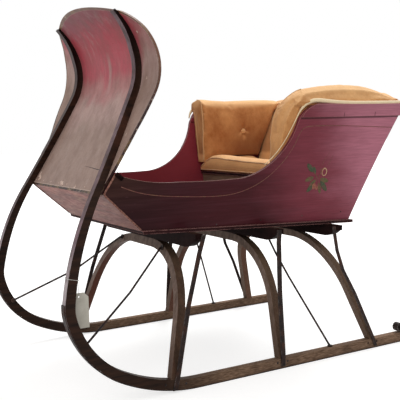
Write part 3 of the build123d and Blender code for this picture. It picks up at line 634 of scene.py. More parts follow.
def riserMaterial():
    material, tree, shader, place = newMaterial("oliveCloth", Roughness=0.9, Sheen_Weight=0.2)
    threads = {"Scale": 260.0, "Distortion": 0.6, "Detail": 1.0}
    ways = [put(tree, "TexWave", {"bands_direction": way}, Vector=place, **threads) for way in ("Y", "Z")]
    weave = calc(tree, "MAXIMUM", *[way.outputs["Fac"] for way in ways])
    patches = cloud(tree, place, 12.0, 5.0, 0.6)
    colour = blend(tree, span(tree, patches, 0.32, 0.7), clothLook["brown"], clothLook["olive"])
    colour = blend(tree, span(tree, weave, 0.6, 1.0, 0.0, 0.35), colour, clothLook["light"])
    return finished(material, shader, colour, weave, 0.4, 0.0006)


paperLook = {"paper": tint(206, 202, 190), "soil": tint(170, 163, 148)}


def paperMaterial():
    material, tree, shader, place = newMaterial("tagPaper", Roughness=0.75)
    fibres = cloud(tree, place, 220.0, 4.0, 0.7)
    soil = span(tree, cloud(tree, place, 26.0, 4.0, 0.6), 0.4, 0.75)
    colour = blend(tree, times(tree, soil, 0.5), paperLook["paper"], paperLook["soil"])
    colour = blend(tree, span(tree, fibres, 0.5, 0.8, 0.0, 0.3), colour, paperLook["soil"])
    return finished(material, shader, colour, fibres, 0.2, 0.0004)


def paintedMaterial(name, light, dark, cover):
    # hand painted ornament, rubbed through in places to the ground colour
    material, tree, shader, place = newMaterial(name, Roughness=0.5, Specular_IOR_Level=0.2)
    strokes = cloud(tree, place, 130.0, 4.0, 0.6)
    colour = blend(tree, span(tree, strokes, 0.35, 0.65), dark, light)
    rubbed = span(tree, cloud(tree, place, 75.0, 5.0, 0.7), 0.44, 0.62)
    colour = blend(tree, times(tree, rubbed, 1.0 - cover), colour, bodyPaint["rose"])
    return finished(material, shader, colour, strokes, 0.15, 0.0004)


looks = {
    "body": bodyPaintMaterial(),
    "base": basePaintMaterial(),
    "toe": toePaintMaterial(),
    "dash": dashPaintMaterial(),
    "binding": bindingMaterial(),
    "runner": woodMaterial("runnerWood"),
    "arch": woodMaterial("archWood", (0.0, math.pi / 2, 0.0)),
    "crossbar": woodMaterial("crossbarWood", (0.0, 0.0, math.pi / 2)),
    "iron": ironMaterial(),
    "plush": plushMaterial(),
    "welt": trimMaterial("creamWelt", tint(255, 238, 200), tint(240, 204, 152), 150.0, 0.5),
    "piping": trimMaterial("tanPiping", tint(240, 196, 140), tint(186, 128, 74), 220.0, 0.5),
    "cotton": trimMaterial("cottonString", tint(240, 238, 232), tint(206, 202, 192), 900.0, 0.7),
    "cloth": riserMaterial(),
    "paper": paperMaterial(),
    "bead": paintedMaterial("beadPaint", tint(168, 118, 102), tint(96, 62, 52), 0.9),
    "chip": paintedMaterial("bareChip", tint(236, 214, 198), tint(196, 162, 146), 0.9),
    "goldLine": paintedMaterial("goldLine", tint(138, 100, 78), tint(104, 66, 56), 0.30),
    "leafGreen": paintedMaterial("leafGreen", tint(74, 86, 58), tint(46, 64, 44), 0.62),
    "leafOlive": paintedMaterial("leafOlive", tint(104, 96, 58), tint(80, 70, 48), 0.5),
    "budBrown": paintedMaterial("budBrown", tint(172, 108, 84), tint(138, 82, 66), 0.5),
    "budPale": paintedMaterial("budPale", tint(222, 190, 158), tint(170, 128, 84), 0.62),
}
print("materials made")


def dress(look, *names):
    for name in names:
        piece = nodes[name]
        if not piece.material_slots:
            piece.data.materials.append(looks[look])
        for place in piece.material_slots:
            place.material = looks[look]


dress("body", "side_panel_left", "side_panel_right", "back_panel",
      "rim_moulding_left", "rim_moulding_right", "rim_moulding_back")
dress("base", "base_board", "seat_board")
dress("toe", "toe_panel")
dress("dash", "dash_panel")
dress("binding", "dash_binding")
dress("runner", "runner_left", "runner_right")
dress("arch", "arch_front", "arch_middle", "arch_rear")
dress("crossbar", "crossbar_front", "crossbar_middle", "crossbar_rear")
dress("iron", *[name for name in nodes if name.startswith(("shoe_", "stay_", "brace_"))])
dress("cloth", "seat_riser")
dress("paper", "hang_tag")
tagString.data.materials.append(looks["cotton"])


studio = {
    "floorSize": 26.0, "floorZ": -0.0005, "floorColour": (0.60, 0.597, 0.59, 1.0),
    # the floor's own white, shown only to the camera and in reflections, and more of it far away
    "glow": 0.66, "farGlow": 0.50, "farFrom": 2.0, "farTo": 7.0,
    "sky": (1.0, 0.985, 0.97, 1.0), "ambient": 0.62, "white": (1.0, 1.0, 1.0, 1.0),
    "aim": (0.0, 0.0, 0.6),
    "key": {"power": 170.0, "place": (-2.6, -1.6, 4.6), "size": 2.6},
    "fill": {"power": 52.0, "place": (3.4, 3.6, 3.2), "size": 3.0},
}


def addWorld():
    world = bpy.data.worlds.new("studio")
    scene.world = world
    tree = blankTree(world)
    path = put(tree, "LightPath").outputs
    seen = calc(tree, "MAXIMUM", path["Is Camera Ray"], path["Is Glossy Ray"])
    seen = calc(tree, "MAXIMUM", seen, path["Is Transmission Ray"])
    lighting = put(tree, "Background", None, Color=studio["sky"], Strength=studio["ambient"])
    white = put(tree, "Background", None, Color=studio["white"], Strength=1.0)
    mix = put(tree, "MixShader", None, at0=seen, at1=lighting.outputs[0], at2=white.outputs[0])
    put(tree, "OutputWorld", None, Surface=mix.outputs[0])


def addFloor():
    bm = bmesh.new()
    bmesh.ops.create_grid(bm, x_segments=1, y_segments=1, size=studio["floorSize"])
    floor = meshPiece(bm, "studioFloor", None)
    floor.location.z = studio["floorZ"]
    material = bpy.data.materials.new("studioFloor")
    tree = blankTree(material)
    path = put(tree, "LightPath").outputs
    seen = calc(tree, "MAXIMUM", path["Is Camera Ray"], path["Is Glossy Ray"])
    matte = put(tree, "BsdfDiffuse", None, Color=studio["floorColour"])
    parts = axes(tree, put(tree, "TexCoord").outputs["Object"])
    squares = [calc(tree, "POWER", parts[axis], 2.0) for axis in ("X", "Y")]
    far = calc(tree, "SQRT", calc(tree, "ADD", *squares))
    most = studio["glow"] + studio["farGlow"]
    lift = span(tree, far, studio["farFrom"], studio["farTo"], studio["glow"], most)
    glow = put(tree, "Emission", None, Strength=times(tree, seen, lift))
    both = put(tree, "AddShader", None, at0=matte.outputs[0], at1=glow.outputs[0])
    put(tree, "OutputMaterial", None, Surface=both.outputs[0])
    floor.data.materials.append(material)


def addLamp(name):
    look = studio[name]
    light = bpy.data.lights.new(name + "Light", "AREA")
    light.energy = look["power"]
    light.size = look["size"]
    lamp = bpy.data.objects.new(name + "Light", light)
    place = Vector(look["place"])
    turn = (Vector(studio["aim"]) - place).to_track_quat("-Z", "Y").to_matrix().to_4x4()
    lamp.matrix_world = Matrix.Translation(place) @ turn
    scene.collection.objects.link(lamp)


def meshPiece(bm, name, look, smooth=False):
    mesh = bpy.data.meshes.new(name)
    bm.to_mesh(mesh)
    bm.free()
    for polygon in mesh.polygons:
        polygon.use_smooth = smooth
    piece = bpy.data.objects.new(name, mesh)
    scene.collection.objects.link(piece)
    if look:
        mesh.materials.append(looks[look])
    return piece


def onSleigh(piece, slot=None, *replaced):
    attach(piece, "root")
    if replaced:
        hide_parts(*replaced)
    return piece


def asShown(piece):
    # the piece with its modifiers worked in
    return piece.evaluated_get(bpy.context.evaluated_depsgraph_get())


addWorld()
addFloor()
addLamp("key")
addLamp("fill")
print("studio made")


body = {
    "sideFootY": 0.346, "sideFootZ": 0.530, "flare": math.radians(11.55), "wall": 0.014, "rimZ": 0.990,
    "rearFoot": (-0.51839, 0.5242), "rearTop": (-0.73939, 0.990), "bow": 0.007,
    "squab": 0.0784,         # from the back panel's inner face to the front of the back cushion
}
bothSides = (("Left", 1), ("Right", -1))


def held(value, low=0.0, high=1.0):
    return min(max(value, low), high)


def spread(low, high, count):
    # evenly spaced values, both ends included
    return [low + (high - low) * step / (count - 1) for step in range(count)]


def sideY(z):
    return body["sideFootY"] + (z - body["sideFootZ"]) * math.tan(body["flare"])


def rearX(z):
    (x0, z0), (x1, z1) = body["rearFoot"], body["rearTop"]
    return x0 + (z - z0) / (z1 - z0) * (x1 - x0)


def backWall(z):
    return rearX(z) + body["wall"] + body["bow"]


def squabFront(z):
    return backWall(z) + body["squab"]


def smooth(t):
    t = held(t)
    return t * t * (3.0 - 2.0 * t)


def follow(table, t):
    # values at t of rows (t, value, ...), in straight lines between them
    for low, high in zip(table, table[1:]):
        if t <= high[0]:
            share = held((t - low[0]) / (high[0] - low[0]))
            return [a + (b - a) * share for a, b in zip(low[1:], high[1:])]
    return list(table[-1][1:])


# swelling of a pad: remeshed evenly and blown up as cloth, each point held within the pad's own cap
swell = {
    "voxel": 0.006, "frames": 20,
    "cloth": {"quality": 5, "mass": 0.3, "tension_stiffness": 15, "compression_stiffness": 15,
              "bending_stiffness": 0.5, "use_pressure": True, "uniform_pressure_force": 4.0},
}


def swollen(piece, cap, keepOut, finer=1):
    remesh = piece.modifiers.new("even", "REMESH")
    remesh.mode = "VOXEL"
    remesh.voxel_size = swell["voxel"]
    bakeModifiers(piece)
    start = [v.co.copy() for v in piece.data.vertices]
    puff = piece.modifiers.new("puff", "CLOTH")
    for key, value in swell["cloth"].items():
        setattr(puff.settings, key, value)
    puff.settings.effector_weights.gravity = 0.0
    puff.collision_settings.use_collision = False
    for f in range(1, swell["frames"] + 1):
        scene.frame_set(f)
    shape = asShown(piece)
    ends = [v.co.copy() for v in shape.data.vertices]
    piece.modifiers.clear()
    scene.frame_set(1)
    for v, a, b in zip(piece.data.vertices, start, ends):
        move = b - a
        if move.length > cap:
            move *= cap / move.length
        v.co = a + move
    for v in piece.data.vertices:
        v.co = keepOut(v.co)
    for polygon in piece.data.polygons:
        polygon.use_smooth = True
    if finer:
        smoothing = piece.modifiers.new("even", "SUBSURF")
        smoothing.levels = smoothing.render_levels = finer


def bakeModifiers(piece):
    mesh = bpy.data.meshes.new_from_object(asShown(piece))
    old = piece.data
    piece.modifiers.clear()
    piece.data = mesh
    bpy.data.meshes.remove(old)


def padBlock(name, cuts, place):
    # a closed block, cut evenly, with every point sent to its place by its shares of the three sides
    bm = bmesh.new()
    bmesh.ops.create_cube(bm, size=1.0, matrix=Matrix.Translation((0.5, 0.5, 0.5)))
    for axis, count in enumerate(cuts):
        edges = []
        for edge in bm.edges:
            way = edge.verts[1].co - edge.verts[0].co
            if abs(way[axis]) > 0.9 * way.length:
                edges.append(edge)
        bmesh.ops.subdivide_edges(bm, edges=edges, cuts=count, use_grid_fill=True)
    for v in bm.verts:
        v.co = place(*v.co)
    bmesh.ops.recalc_face_normals(bm, faces=bm.faces)
    return meshPiece(bm, name, "plush", True)


seat = {
    "frontX": -0.2234, "setBack": 0.003, "bulge": 0.008, "lowZ": 0.7146, "rearZ": 0.768, "inset": 0.0156,
    "crown": 0.004, "cap": 0.006, "cuts": (24, 56, 5),
    "hollow": 0.018, "hollowY": 0.28, "hollowEase": 0.05,    # dip of the rear between the side squabs
    "riseEnd": 0.95, "risePower": 1.6,                       # how the top climbs from the rear to the front
    # height of the front's top edge across the seat, from the right side to the left
    "top": [(-0.380, 0.736), (-0.355, 0.743), (-0.325, 0.764), (-0.285, 0.779), (-0.226, 0.785),
            (-0.141, 0.779), (0.0, 0.773), (0.18, 0.768), (0.33, 0.766), (0.380, 0.752)],
}


def pressed(piece, spot, inward, depth, reach):
    # a soft hollow round a button
    spot, inward = Vector(spot), Vector(inward).normalized()
    for v in piece.data.vertices:
        away = v.co - spot
        flat = away - inward * away.dot(inward)
        fold = 1.0 + 0.25 * math.cos(4.0 * math.atan2(flat.z, flat.x + 1e-9) + 0.6)
        if abs(away.dot(inward)) < 0.05:
            v.co += inward * depth * math.exp(-((flat.length / reach) ** 2)) * fold


def addSeatCushion():
    def place(a, b, c):
        # a from the rear to the front, b across, c upward
        y = (2.0 * b - 1.0) * (sideY(0.75) - seat["inset"])
        side = smooth((abs(y) - seat["hollowY"]) / seat["hollowEase"])
        rear = seat["rearZ"] - seat["hollow"] * (1.0 - side)
        rise = smooth(a / seat["riseEnd"]) ** seat["risePower"]
        top = rear + (follow(seat["top"], y)[0] - rear) * rise
        z = seat["lowZ"] + (top - seat["lowZ"]) * c
        z += seat["crown"] * c * math.sin(math.pi * a)
        half = sideY(z) - seat["inset"]
        x0 = squabFront(z) + 0.001
        x1 = seat["frontX"] - seat["setBack"] + seat["bulge"] * math.sin(math.pi * held(c))
        return Vector((x0 + (x1 - x0) * a, half * (2.0 * b - 1.0), z))

    def keepOut(p):
        z = max(p.z, seat["lowZ"])
        half = sideY(z) - seat["inset"] + 0.001
        return Vector((max(p.x, squabFront(z) - 0.001), held(p.y, -half, half), z))

    piece = padBlock("seatCushion", seat["cuts"], place)
    swollen(piece, seat["cap"], keepOut)
    onSleigh(piece, "mohair", "seat_cushion")
    return piece


back = {
    "lowZ": 0.716, "topZ": 1.048, "thick": 0.074, "clear": 0.0004, "cap": 0.010, "cuts": (6, 44, 24),
    "endDrop": 0.010, "nearDrop": 0.024, "nearFrom": 0.72, "nearEase": 0.28,    # the top falls at its ends
    # shares of the thickness, and of the width and height where it thins
    "flat": 0.80, "bulge": 0.14, "thinEnds": 0.25, "thinFrom": 0.86, "thinEase": 0.14, "thinTop": 0.30,
    "crownFrom": 0.9, "crownEase": 0.1, "crownBack": 0.010, "crownRise": 0.006,
    "buttonsY": (-0.17, 0.0, 0.17), "buttonZ": 0.897,
    "press": (-1, 0, -0.4), "pressDeep": 0.011, "pressWide": 0.030,
}


def addBackCushion():
    def place(a, b, c):
        # a from the panel to the seat, b across, c upward
        z = back["lowZ"] + (back["topZ"] - back["lowZ"]) * c
        across = 2.0 * b - 1.0
        near = smooth((across - back["nearFrom"]) / back["nearEase"])
        z -= back["endDrop"] * c * abs(across) ** 8 + back["nearDrop"] * c * near
        half = sideY(z) - seat["inset"] - 0.001
        thick = back["thick"] * (back["flat"] + back["bulge"] * math.sin(math.pi * held(c)))
        thick *= 1.0 - back["thinEnds"] * abs(across) ** 6
        thick *= 1.0 - back["thinTop"] * smooth((c - back["thinFrom"]) / back["thinEase"])
        x = backWall(z) + back["clear"] + thick * a
        if c > back["crownFrom"]:
            x -= back["crownBack"] * smooth((c - back["crownFrom"]) / back["crownEase"])
            z += back["crownRise"] * math.sin(math.pi * a)
        return Vector((x, half * across, z))

    def keepOut(p):
        z = max(p.z, back["lowZ"] - 0.001)
        half = sideY(z) - seat["inset"] + 0.001
        x = max(p.x, backWall(z)) if z < body["rimZ"] else p.x
        return Vector((x, held(p.y, -half, half), z))

    piece = padBlock("backCushion", back["cuts"], place)
    swollen(piece, back["cap"], keepOut, 0)
    for y in back["buttonsY"]:
        spot = (squabFront(back["buttonZ"]) - 0.006, y, back["buttonZ"])
        pressed(piece, spot, back["press"], back["pressDeep"], back["pressWide"])
    onSleigh(piece, "mohair", "back_cushion")
    return piece


# each squab: rows up it of its share, distance from the wall's inner face and height, on the side of the room
# and on that of the wall; then its front edge by height, and the height of its crest by x
wings = {
    "wingCushionLeft": {
        "side": 1, "replaces": "wing_cushion_left", "reach": 0.060,
        "frontSag": 0.004, "button": -0.425, "pipes": (("Room", 1.0),),
        "room": [(0.00, 0.054, 0.774), (0.22, 0.066, 0.840), (0.45, 0.084, 0.905), (0.62, 0.096, 0.965),
                 (0.74, 0.098, 1.008), (0.84, 0.086, 1.040), (0.92, 0.060, 1.058), (1.00, 0.024, 1.062)],
        "wall": [(0.00, 0.001, 0.774), (0.22, 0.001, 0.840), (0.45, 0.001, 0.905), (0.62, 0.001, 0.960),
                 (0.74, -0.001, 0.992), (0.84, -0.014, 0.999), (0.92, -0.022, 1.014), (1.00, -0.014, 1.044)],
        "front": [(0.772, -0.132), (0.865, -0.134), (0.931, -0.146), (0.961, -0.156), (0.988, -0.170),
                  (1.012, -0.184), (1.032, -0.202), (1.050, -0.222), (1.060, -0.236), (1.070, -0.250)],
        "crest": [(-0.72, 1.017), (-0.70, 1.026), (-0.68, 1.035), (-0.66, 1.042), (-0.63, 1.053),
                  (-0.60, 1.062), (-0.57, 1.069), (-0.53, 1.0755), (-0.48, 1.079), (-0.43, 1.0805),
                  (-0.38, 1.079), (-0.33, 1.0755), (-0.29, 1.071), (-0.26, 1.067), (-0.235, 1.062),
                  (-0.215, 1.056), (-0.20, 1.050)],
    },
    "wingCushionRight": {
        "side": -1, "replaces": "wing_cushion_right", "reach": 0.030,
        "frontSag": 0.020, "button": -0.452, "pipes": (("Room", 1.0), ("Wall", 0.28)),
        "room": [(0.00, 0.052, 0.774), (0.22, 0.064, 0.840), (0.45, 0.080, 0.905), (0.62, 0.090, 0.965),
                 (0.74, 0.092, 1.005), (0.84, 0.086, 1.036), (0.92, 0.066, 1.051), (1.00, 0.030, 1.054)],
        "wall": [(0.00, 0.001, 0.774), (0.22, 0.001, 0.840), (0.45, 0.001, 0.905), (0.62, 0.001, 0.960),
                 (0.74, -0.001, 0.992), (0.84, -0.010, 0.998), (0.92, -0.014, 1.014), (1.00, -0.008, 1.040)],
        "front": [(0.772, -0.214), (0.90, -0.216), (1.00, -0.218), (1.04, -0.220), (1.058, -0.226)],
        "crest": [(-0.70, 1.049), (-0.62, 1.053), (-0.54, 1.0525), (-0.46, 1.050), (-0.38, 1.049),
                  (-0.30, 1.052), (-0.22, 1.056)],
    },
}
# what both squabs share: hollow of the button, crown over the rim, sag of the front's foot, rounded front edges
wingForm = {
    "buttonZ": 0.897, "pressDeep": 0.013, "pressWide": 0.034, "cap": 0.007, "cuts": (7, 46, 30),
    "gap": 0.0014, "overRim": 0.07, "tuck": 0.006, "slopeTop": 1.0,
    "sagFrom": 0.70, "sagEase": 0.30, "sagHigh": 0.25, "roundFrom": 0.94, "roundEase": 0.06, "roundIn": 0.008,
    "rearFootZ": 0.7730, "frontFootZ": 0.7735, "frontFootX": -0.30,
}


def wingPoint(look, a, b, c):
    # a from the wall to the room, b from the rear to the front, c upward
    form = wingForm
    wallD, wallZ = follow(look["wall"], c)
    roomD, roomZ = follow(look["room"], c)
    d = wallD + (roomD - wallD) * a
    z = wallZ + (roomZ - wallZ) * a
    high = min(max(z - body["rimZ"], 0.0) / form["overRim"], 1.0)
    x1 = follow(look["front"], z)[0]
    x0 = squabFront(min(z, form["slopeTop"])) - form["tuck"] - look["reach"] * high
    x = x0 + (x1 - x0) * b
    z += (follow(look["crest"], x)[0] - look["room"][-1][2]) * high
    sag = look["frontSag"] * smooth((b - form["sagFrom"]) / form["sagEase"])
    z -= sag * (1.0 - smooth(c / form["sagHigh"]))
    y = sideY(min(z, form["slopeTop"])) - body["wall"] - form["gap"] - d
    if b > form["roundFrom"]:
        y += (0.5 - a) * form["roundIn"] * smooth((b - form["roundFrom"]) / form["roundEase"])
    return Vector((x, look["side"] * y, z))


def addWing(name):
    look = wings[name]
    side = look["side"]

    def keepOut(p):
        # inside the panel below the rim, and no further out than its top just above it
        front = p.x > wingForm["frontFootX"]
        z = max(p.z, wingForm["frontFootZ"] - look["frontSag"] if front else wingForm["rearFootZ"])
        y = side * p.y
        if z < body["rimZ"] + 0.0008:
            y = min(y, sideY(z) - body["wall"] - 0.0006)
        elif z < body["rimZ"] + 0.012:
            y = min(y, sideY(body["rimZ"]) + 0.003)
        rear = squabFront(min(z, wingForm["slopeTop"])) - 0.008 - look["reach"]
        return Vector((max(p.x, rear), side * y, z))

    piece = padBlock(name, wingForm["cuts"], lambda a, b, c: wingPoint(look, a, b, c))
    swollen(piece, wingForm["cap"], keepOut)
    spot = (look["button"], wingPoint(look, 1.0, 0.45, 0.44).y, wingForm["buttonZ"])
    pressed(piece, spot, (0, side, 0), wingForm["pressDeep"], wingForm["pressWide"])
    onSleigh(piece, "mohair", look["replaces"])
    return piece


seatCushion = addSeatCushion()
backCushion = addBackCushion()
wingPieces = {name: addWing(name) for name in wings}
bpy.context.view_layer.update()
print("cushions made")


def tube(name, rows, look, slot, flat=None, sides=3):
    # a round strip along (x, y, z, radius) rows, smoothed, made a mesh
    curve = bpy.data.curves.new(name, "CURVE")
    curve.dimensions = "3D"
    curve.resolution_u = 5
    curve.bevel_depth = 1.0
    curve.bevel_resolution = sides
    curve.use_fill_caps = True
    spline = curve.splines.new("NURBS")
    spline.points.add(len(rows) - 1)
    for point, (x, y, z, r) in zip(spline.points, rows):
        point.co = (x, y, z, 1.0)
        point.radius = r
    spline.order_u = 4
    spline.use_endpoint_u = True
    maker = bpy.data.objects.new(name + "Line", curve)
    scene.collection.objects.link(maker)
    mesh = bpy.data.meshes.new_from_object(asShown(maker))
    bpy.data.objects.remove(maker)
    bm = bmesh.new()
    bm.from_mesh(mesh)
    bmesh.ops.remove_doubles(bm, verts=bm.verts, dist=1e-6)
    if flat:
        for v in bm.verts:
            v.co = flat(v.co)
    bmesh.ops.recalc_face_normals(bm, faces=bm.faces)
    bpy.data.meshes.remove(mesh)
    return onSleigh(meshPiece(bm, name, look, True), slot)


def resting(piece, rows, sink):
    # rows brought to the piece's surface, sunk a share of their radius into it
    shape = asShown(piece)
    moved = []
    for x, y, z, r in rows:
        _, spot, normal, _ = shape.closest_point_on_mesh(Vector((x, y, z)))
        moved.append((*(spot + normal * (r * (1.0 - sink))), r))
    return moved


piping = {
    "radius": 0.0030, "sink": 0.9,
    "rows": 19, "from": 0.02, "to": 0.99, "wallTo": 0.8,          # shares of a squab's height
    "seatHalf": 0.362, "seatRows": 31, "seatLift": 0.004, "seatOut": 0.002, "seatThicker": 0.0004,
    "backHalf": 0.400, "backRows": 31, "backDrop": 0.012, "backX": squabFront(1.02) - 0.016,
}


def addPipe(name, piece, rows):
    tube(name, resting(piece, rows, piping["sink"]), "piping", "mohair")


def addPiping():
    radius = piping["radius"]
    for name, look in wings.items():
        for label, a in look["pipes"]:
            shares = spread(piping["from"], piping["to"], piping["rows"])
            if label == "Wall":
                shares = [c for c in shares if c <= piping["wallTo"]]
            rows = [(*wingPoint(look, a, 1.0, c), radius) for c in shares]
            addPipe(name + label + "Piping", wingPieces[name], rows)
    for label, share in (("Top", 1.0), ("Low", 0.0)):
        rows = []
        for y in spread(-piping["seatHalf"], piping["seatHalf"], piping["seatRows"]):
            low = seat["lowZ"] + piping["seatLift"]
            z = low + (follow(seat["top"], y)[0] - low) * share
            rows.append((seat["frontX"] + piping["seatOut"], y, z, radius + piping["seatThicker"] * share))
        addPipe("seat" + label + "Piping", seatCushion, rows)
    across = spread(-piping["backHalf"], piping["backHalf"], piping["backRows"])
    rows = [(piping["backX"], y, back["topZ"] - piping["backDrop"], radius) for y in across]
    addPipe("backTopPiping", backCushion, rows)


# cream welt between the rim and the side squab: x, z, radius, and distance out from the panel's outer face
rimWelt = {"farEnd": 11, "rows": [    # the far one stops short
    (-0.722, 1.002, 0.0075, 0.016), (-0.60, 1.001, 0.0078, 0.017), (-0.50, 1.001, 0.0078, 0.017),
    (-0.42, 1.002, 0.0078, 0.017), (-0.36, 1.005, 0.0078, 0.016), (-0.31, 1.010, 0.0080, 0.014),
    (-0.275, 1.013, 0.0082, 0.011), (-0.250, 1.011, 0.0080, 0.007), (-0.229, 1.002, 0.0070, 0.002),
    (-0.213, 0.985, 0.0046, -0.005), (-0.204, 0.965, 0.0028, -0.010), (-0.195, 0.940, 0.0022, -0.012),
    (-0.172, 0.894, 0.0018, -0.012), (-0.145, 0.846, 0.0016, -0.012), (-0.111, 0.805, 0.0014, -0.012),
    (-0.070, 0.773, 0.0012, -0.012),
]}


def addRimWelts():
    for word, side in bothSides:
        rows = [(x, side * (sideY(min(z, body["rimZ"])) + out), z, r) for x, z, r, out in rimWelt["rows"]]
        tube("rimWelt" + word, rows if side > 0 else rows[:rimWelt["farEnd"]], "welt", "mohair", sides=4)


button = {"radius": 0.0125, "height": 0.0065, "pleats": 8.0, "pleatDeep": 0.05, "sink": 0.001}


def addButton(name, piece, start, way):
    start, way = Vector(start), Vector(way)
    spot = asShown(piece).ray_cast(start, way)[1]
    bm = bmesh.new()
    bmesh.ops.create_uvsphere(bm, u_segments=20, v_segments=10, radius=1.0)
    for v in bm.verts:
        pleat = math.cos(button["pleats"] * math.atan2(v.co.y, v.co.x)) * (1.0 - abs(v.co.z))
        wide = button["radius"] * (1.0 + button["pleatDeep"] * pleat)
        v.co = Vector((v.co.x * wide, v.co.y * wide, v.co.z * button["height"]))
    turn = (-way).to_track_quat("Z", "Y").to_matrix().to_4x4()
    bmesh.ops.transform(bm, matrix=Matrix.Translation(spot - way * button["sink"]) @ turn, verts=bm.verts)
    onSleigh(meshPiece(bm, name, "piping", True), "mohair")


def addButtons():
    for name, look in wings.items():
        start = (look["button"], look["side"] * 0.2, wingForm["buttonZ"])
        addButton(name + "Button", wingPieces[name], start, (0, look["side"], 0))
    for i, y in enumerate(back["buttonsY"]):
        addButton("backButton%d" % (i + 1), backCushion, (-0.4, y, back["buttonZ"]), (-1, 0, 0))


# rolled top edge of the cloth below the seat
riserRoll = {"x": -0.2364, "z": 0.7045, "radius": 0.0050, "half": 0.3660, "rows": 13}


def addRiserRoll():
    across = spread(-riserRoll["half"], riserRoll["half"], riserRoll["rows"])
    rows = [(riserRoll["x"], y, riserRoll["z"], riserRoll["radius"]) for y in across]
    tube("riserRoll", rows, "cloth", "riser_cloth")


addPiping()
addRimWelts()
addButtons()
addRiserRoll()
print("trim made")


paintLift = 0.00035          # how far paint stands off the panel
panelLean = Vector((0.0, math.cos(body["flare"]), -math.sin(body["flare"])))


def onPanel(side, x, z, lift=0.0):
    # a point on the panel's outer face
    p = Vector((x, sideY(z), z)) + panelLean * lift
    return Vector((p.x, side * p.y, p.z))


def flatten(side, thickness):
    # pushes a line's points down to a thin layer on the panel
    def move(p):
        q = Vector((p.x, side * p.y, p.z))
        away = (q - Vector((0.0, body["sideFootY"], body["sideFootZ"]))).dot(panelLean)
        q += panelLean * (paintLift + held(away, -thickness, thickness) * 0.2 - away)
        return Vector((q.x, side * q.y, q.z))
    return move


pinstripe = {
    "width": 0.0026,
    "points": [
        (0.527, 0.7274), (0.473, 0.7047), (0.415, 0.6919), (0.355, 0.6823), (0.211, 0.6703),
        (0.104, 0.6663), (0.030, 0.676), (-0.050, 0.704), (-0.120, 0.752), (-0.166, 0.802), (-0.198, 0.850),
        (-0.212, 0.890), (-0.230, 0.914), (-0.290, 0.9155), (-0.392, 0.9142), (-0.52, 0.909),
        (-0.634, 0.9027), (-0.690, 0.9005),
    ],
}
spray = {
    # leaf: look, x and z of its root, x and z of its tip, width
    "leaves": [
        ("leafGreen", -0.2995, 0.7345, -0.2665, 0.7690, 0.021),
        ("leafGreen", -0.3120, 0.7260, -0.2990, 0.7560, 0.016),
        ("leafOlive", -0.3060, 0.7130, -0.2640, 0.7000, 0.020),
        ("leafGreen", -0.3130, 0.6860, -0.2780, 0.6560, 0.020),
        ("leafOlive", -0.3200, 0.7020, -0.2860, 0.6760, 0.018),
        ("leafOlive", -0.3380, 0.7040, -0.3840, 0.6920, 0.020),
        ("leafGreen", -0.3420, 0.6960, -0.3800, 0.6530, 0.022),
        ("leafOlive", -0.3340, 0.6900, -0.3480, 0.6440, 0.016),
    ],
    # bud: look, x and z of its middle, half sizes along them
    "buds": [("budBrown", -0.3100, 0.6780, 0.013, 0.014), ("budBrown", -0.3260, 0.6700, 0.008, 0.009)],
    "ring": [(-0.3470, 0.7330), (-0.3480, 0.7440), (-0.3580, 0.7490), (-0.3680, 0.7400), (-0.3700, 0.7260),
             (-0.3620, 0.7160), (-0.3500, 0.7170), (-0.3450, 0.7260), (-0.3470, 0.7370)],
    # stem: look, radius at the root, points
    "stems": [
        ("leafOlive", 0.0016, [(-0.3010, 0.7380), (-0.3150, 0.7220), (-0.3270, 0.7060), (-0.3330, 0.6880)]),
        ("leafOlive", 0.0016, [(-0.3400, 0.7460), (-0.3400, 0.7320), (-0.3350, 0.7180), (-0.3290, 0.7040)]),
        ("goldLine", 0.0009, [(-0.3420, 0.7600), (-0.3480, 0.7760), (-0.3560, 0.7900), (-0.3740, 0.8100)]),
        ("goldLine", 0.0009, [(-0.3730, 0.7580), (-0.3800, 0.7700), (-0.3860, 0.7820), (-0.3920, 0.7980)]),
    ],
    "ringRadius": 0.0022, "ringFlat": 0.003,
}


def addLeaf(name, look, side, x0, z0, x1, z1, width):
    bm = bmesh.new()
    bmesh.ops.create_uvsphere(bm, u_segments=14, v_segments=8, radius=1.0)
    root, tip = Vector((x0, 0.0, z0)), Vector((x1, 0.0, z1))
    along = tip - root
    across = Vector((-along.z, 0.0, along.x)).normalized()
    for v in bm.verts:
        u = v.co.z
        thin = math.sqrt(max(1.0 - u * u, 0.0))
        point = root + along * (0.5 + 0.5 * u) + across * (v.co.x * (0.55 + 0.45 * thin) * width / 2)
        v.co = onPanel(side, point.x, point.z, paintLift + v.co.y * 0.00025)
    bmesh.ops.recalc_face_normals(bm, faces=bm.faces)
    onSleigh(meshPiece(bm, name, look, True), "body_paint")


def addOrnament(word, side):
    half = pinstripe["width"] / 2
    rows = [(*onPanel(side, x, z), half) for x, z in pinstripe["points"]]
    tube("pinstripe" + word, rows, "goldLine", "body_paint", flatten(side, half), 2)
    for i, (look, x0, z0, x1, z1, width) in enumerate(spray["leaves"]):
        addLeaf("leaf%s%d" % (word, i + 1), look, side, x0, z0, x1, z1, width)
    for i, (look, x, z, halfX, halfZ) in enumerate(spray["buds"]):
        addLeaf("bud%s%d" % (word, i + 1), look, side, x, z - halfZ, x, z + halfZ, 2.0 * halfX)
    rows = [(*onPanel(side, x, z), spray["ringRadius"]) for x, z in spray["ring"]]
    tube("budRing" + word, rows, "budPale", "body_paint", flatten(side, spray["ringFlat"]), 2)
    for i, (look, radius, points) in enumerate(spray["stems"]):
        rows = [(*onPanel(side, x, z), radius * (1.0 - 0.5 * j / 3)) for j, (x, z) in enumerate(points)]
        tube("stem%s%d" % (word, i + 1), rows, look, "body_paint", flatten(side, radius), 2)


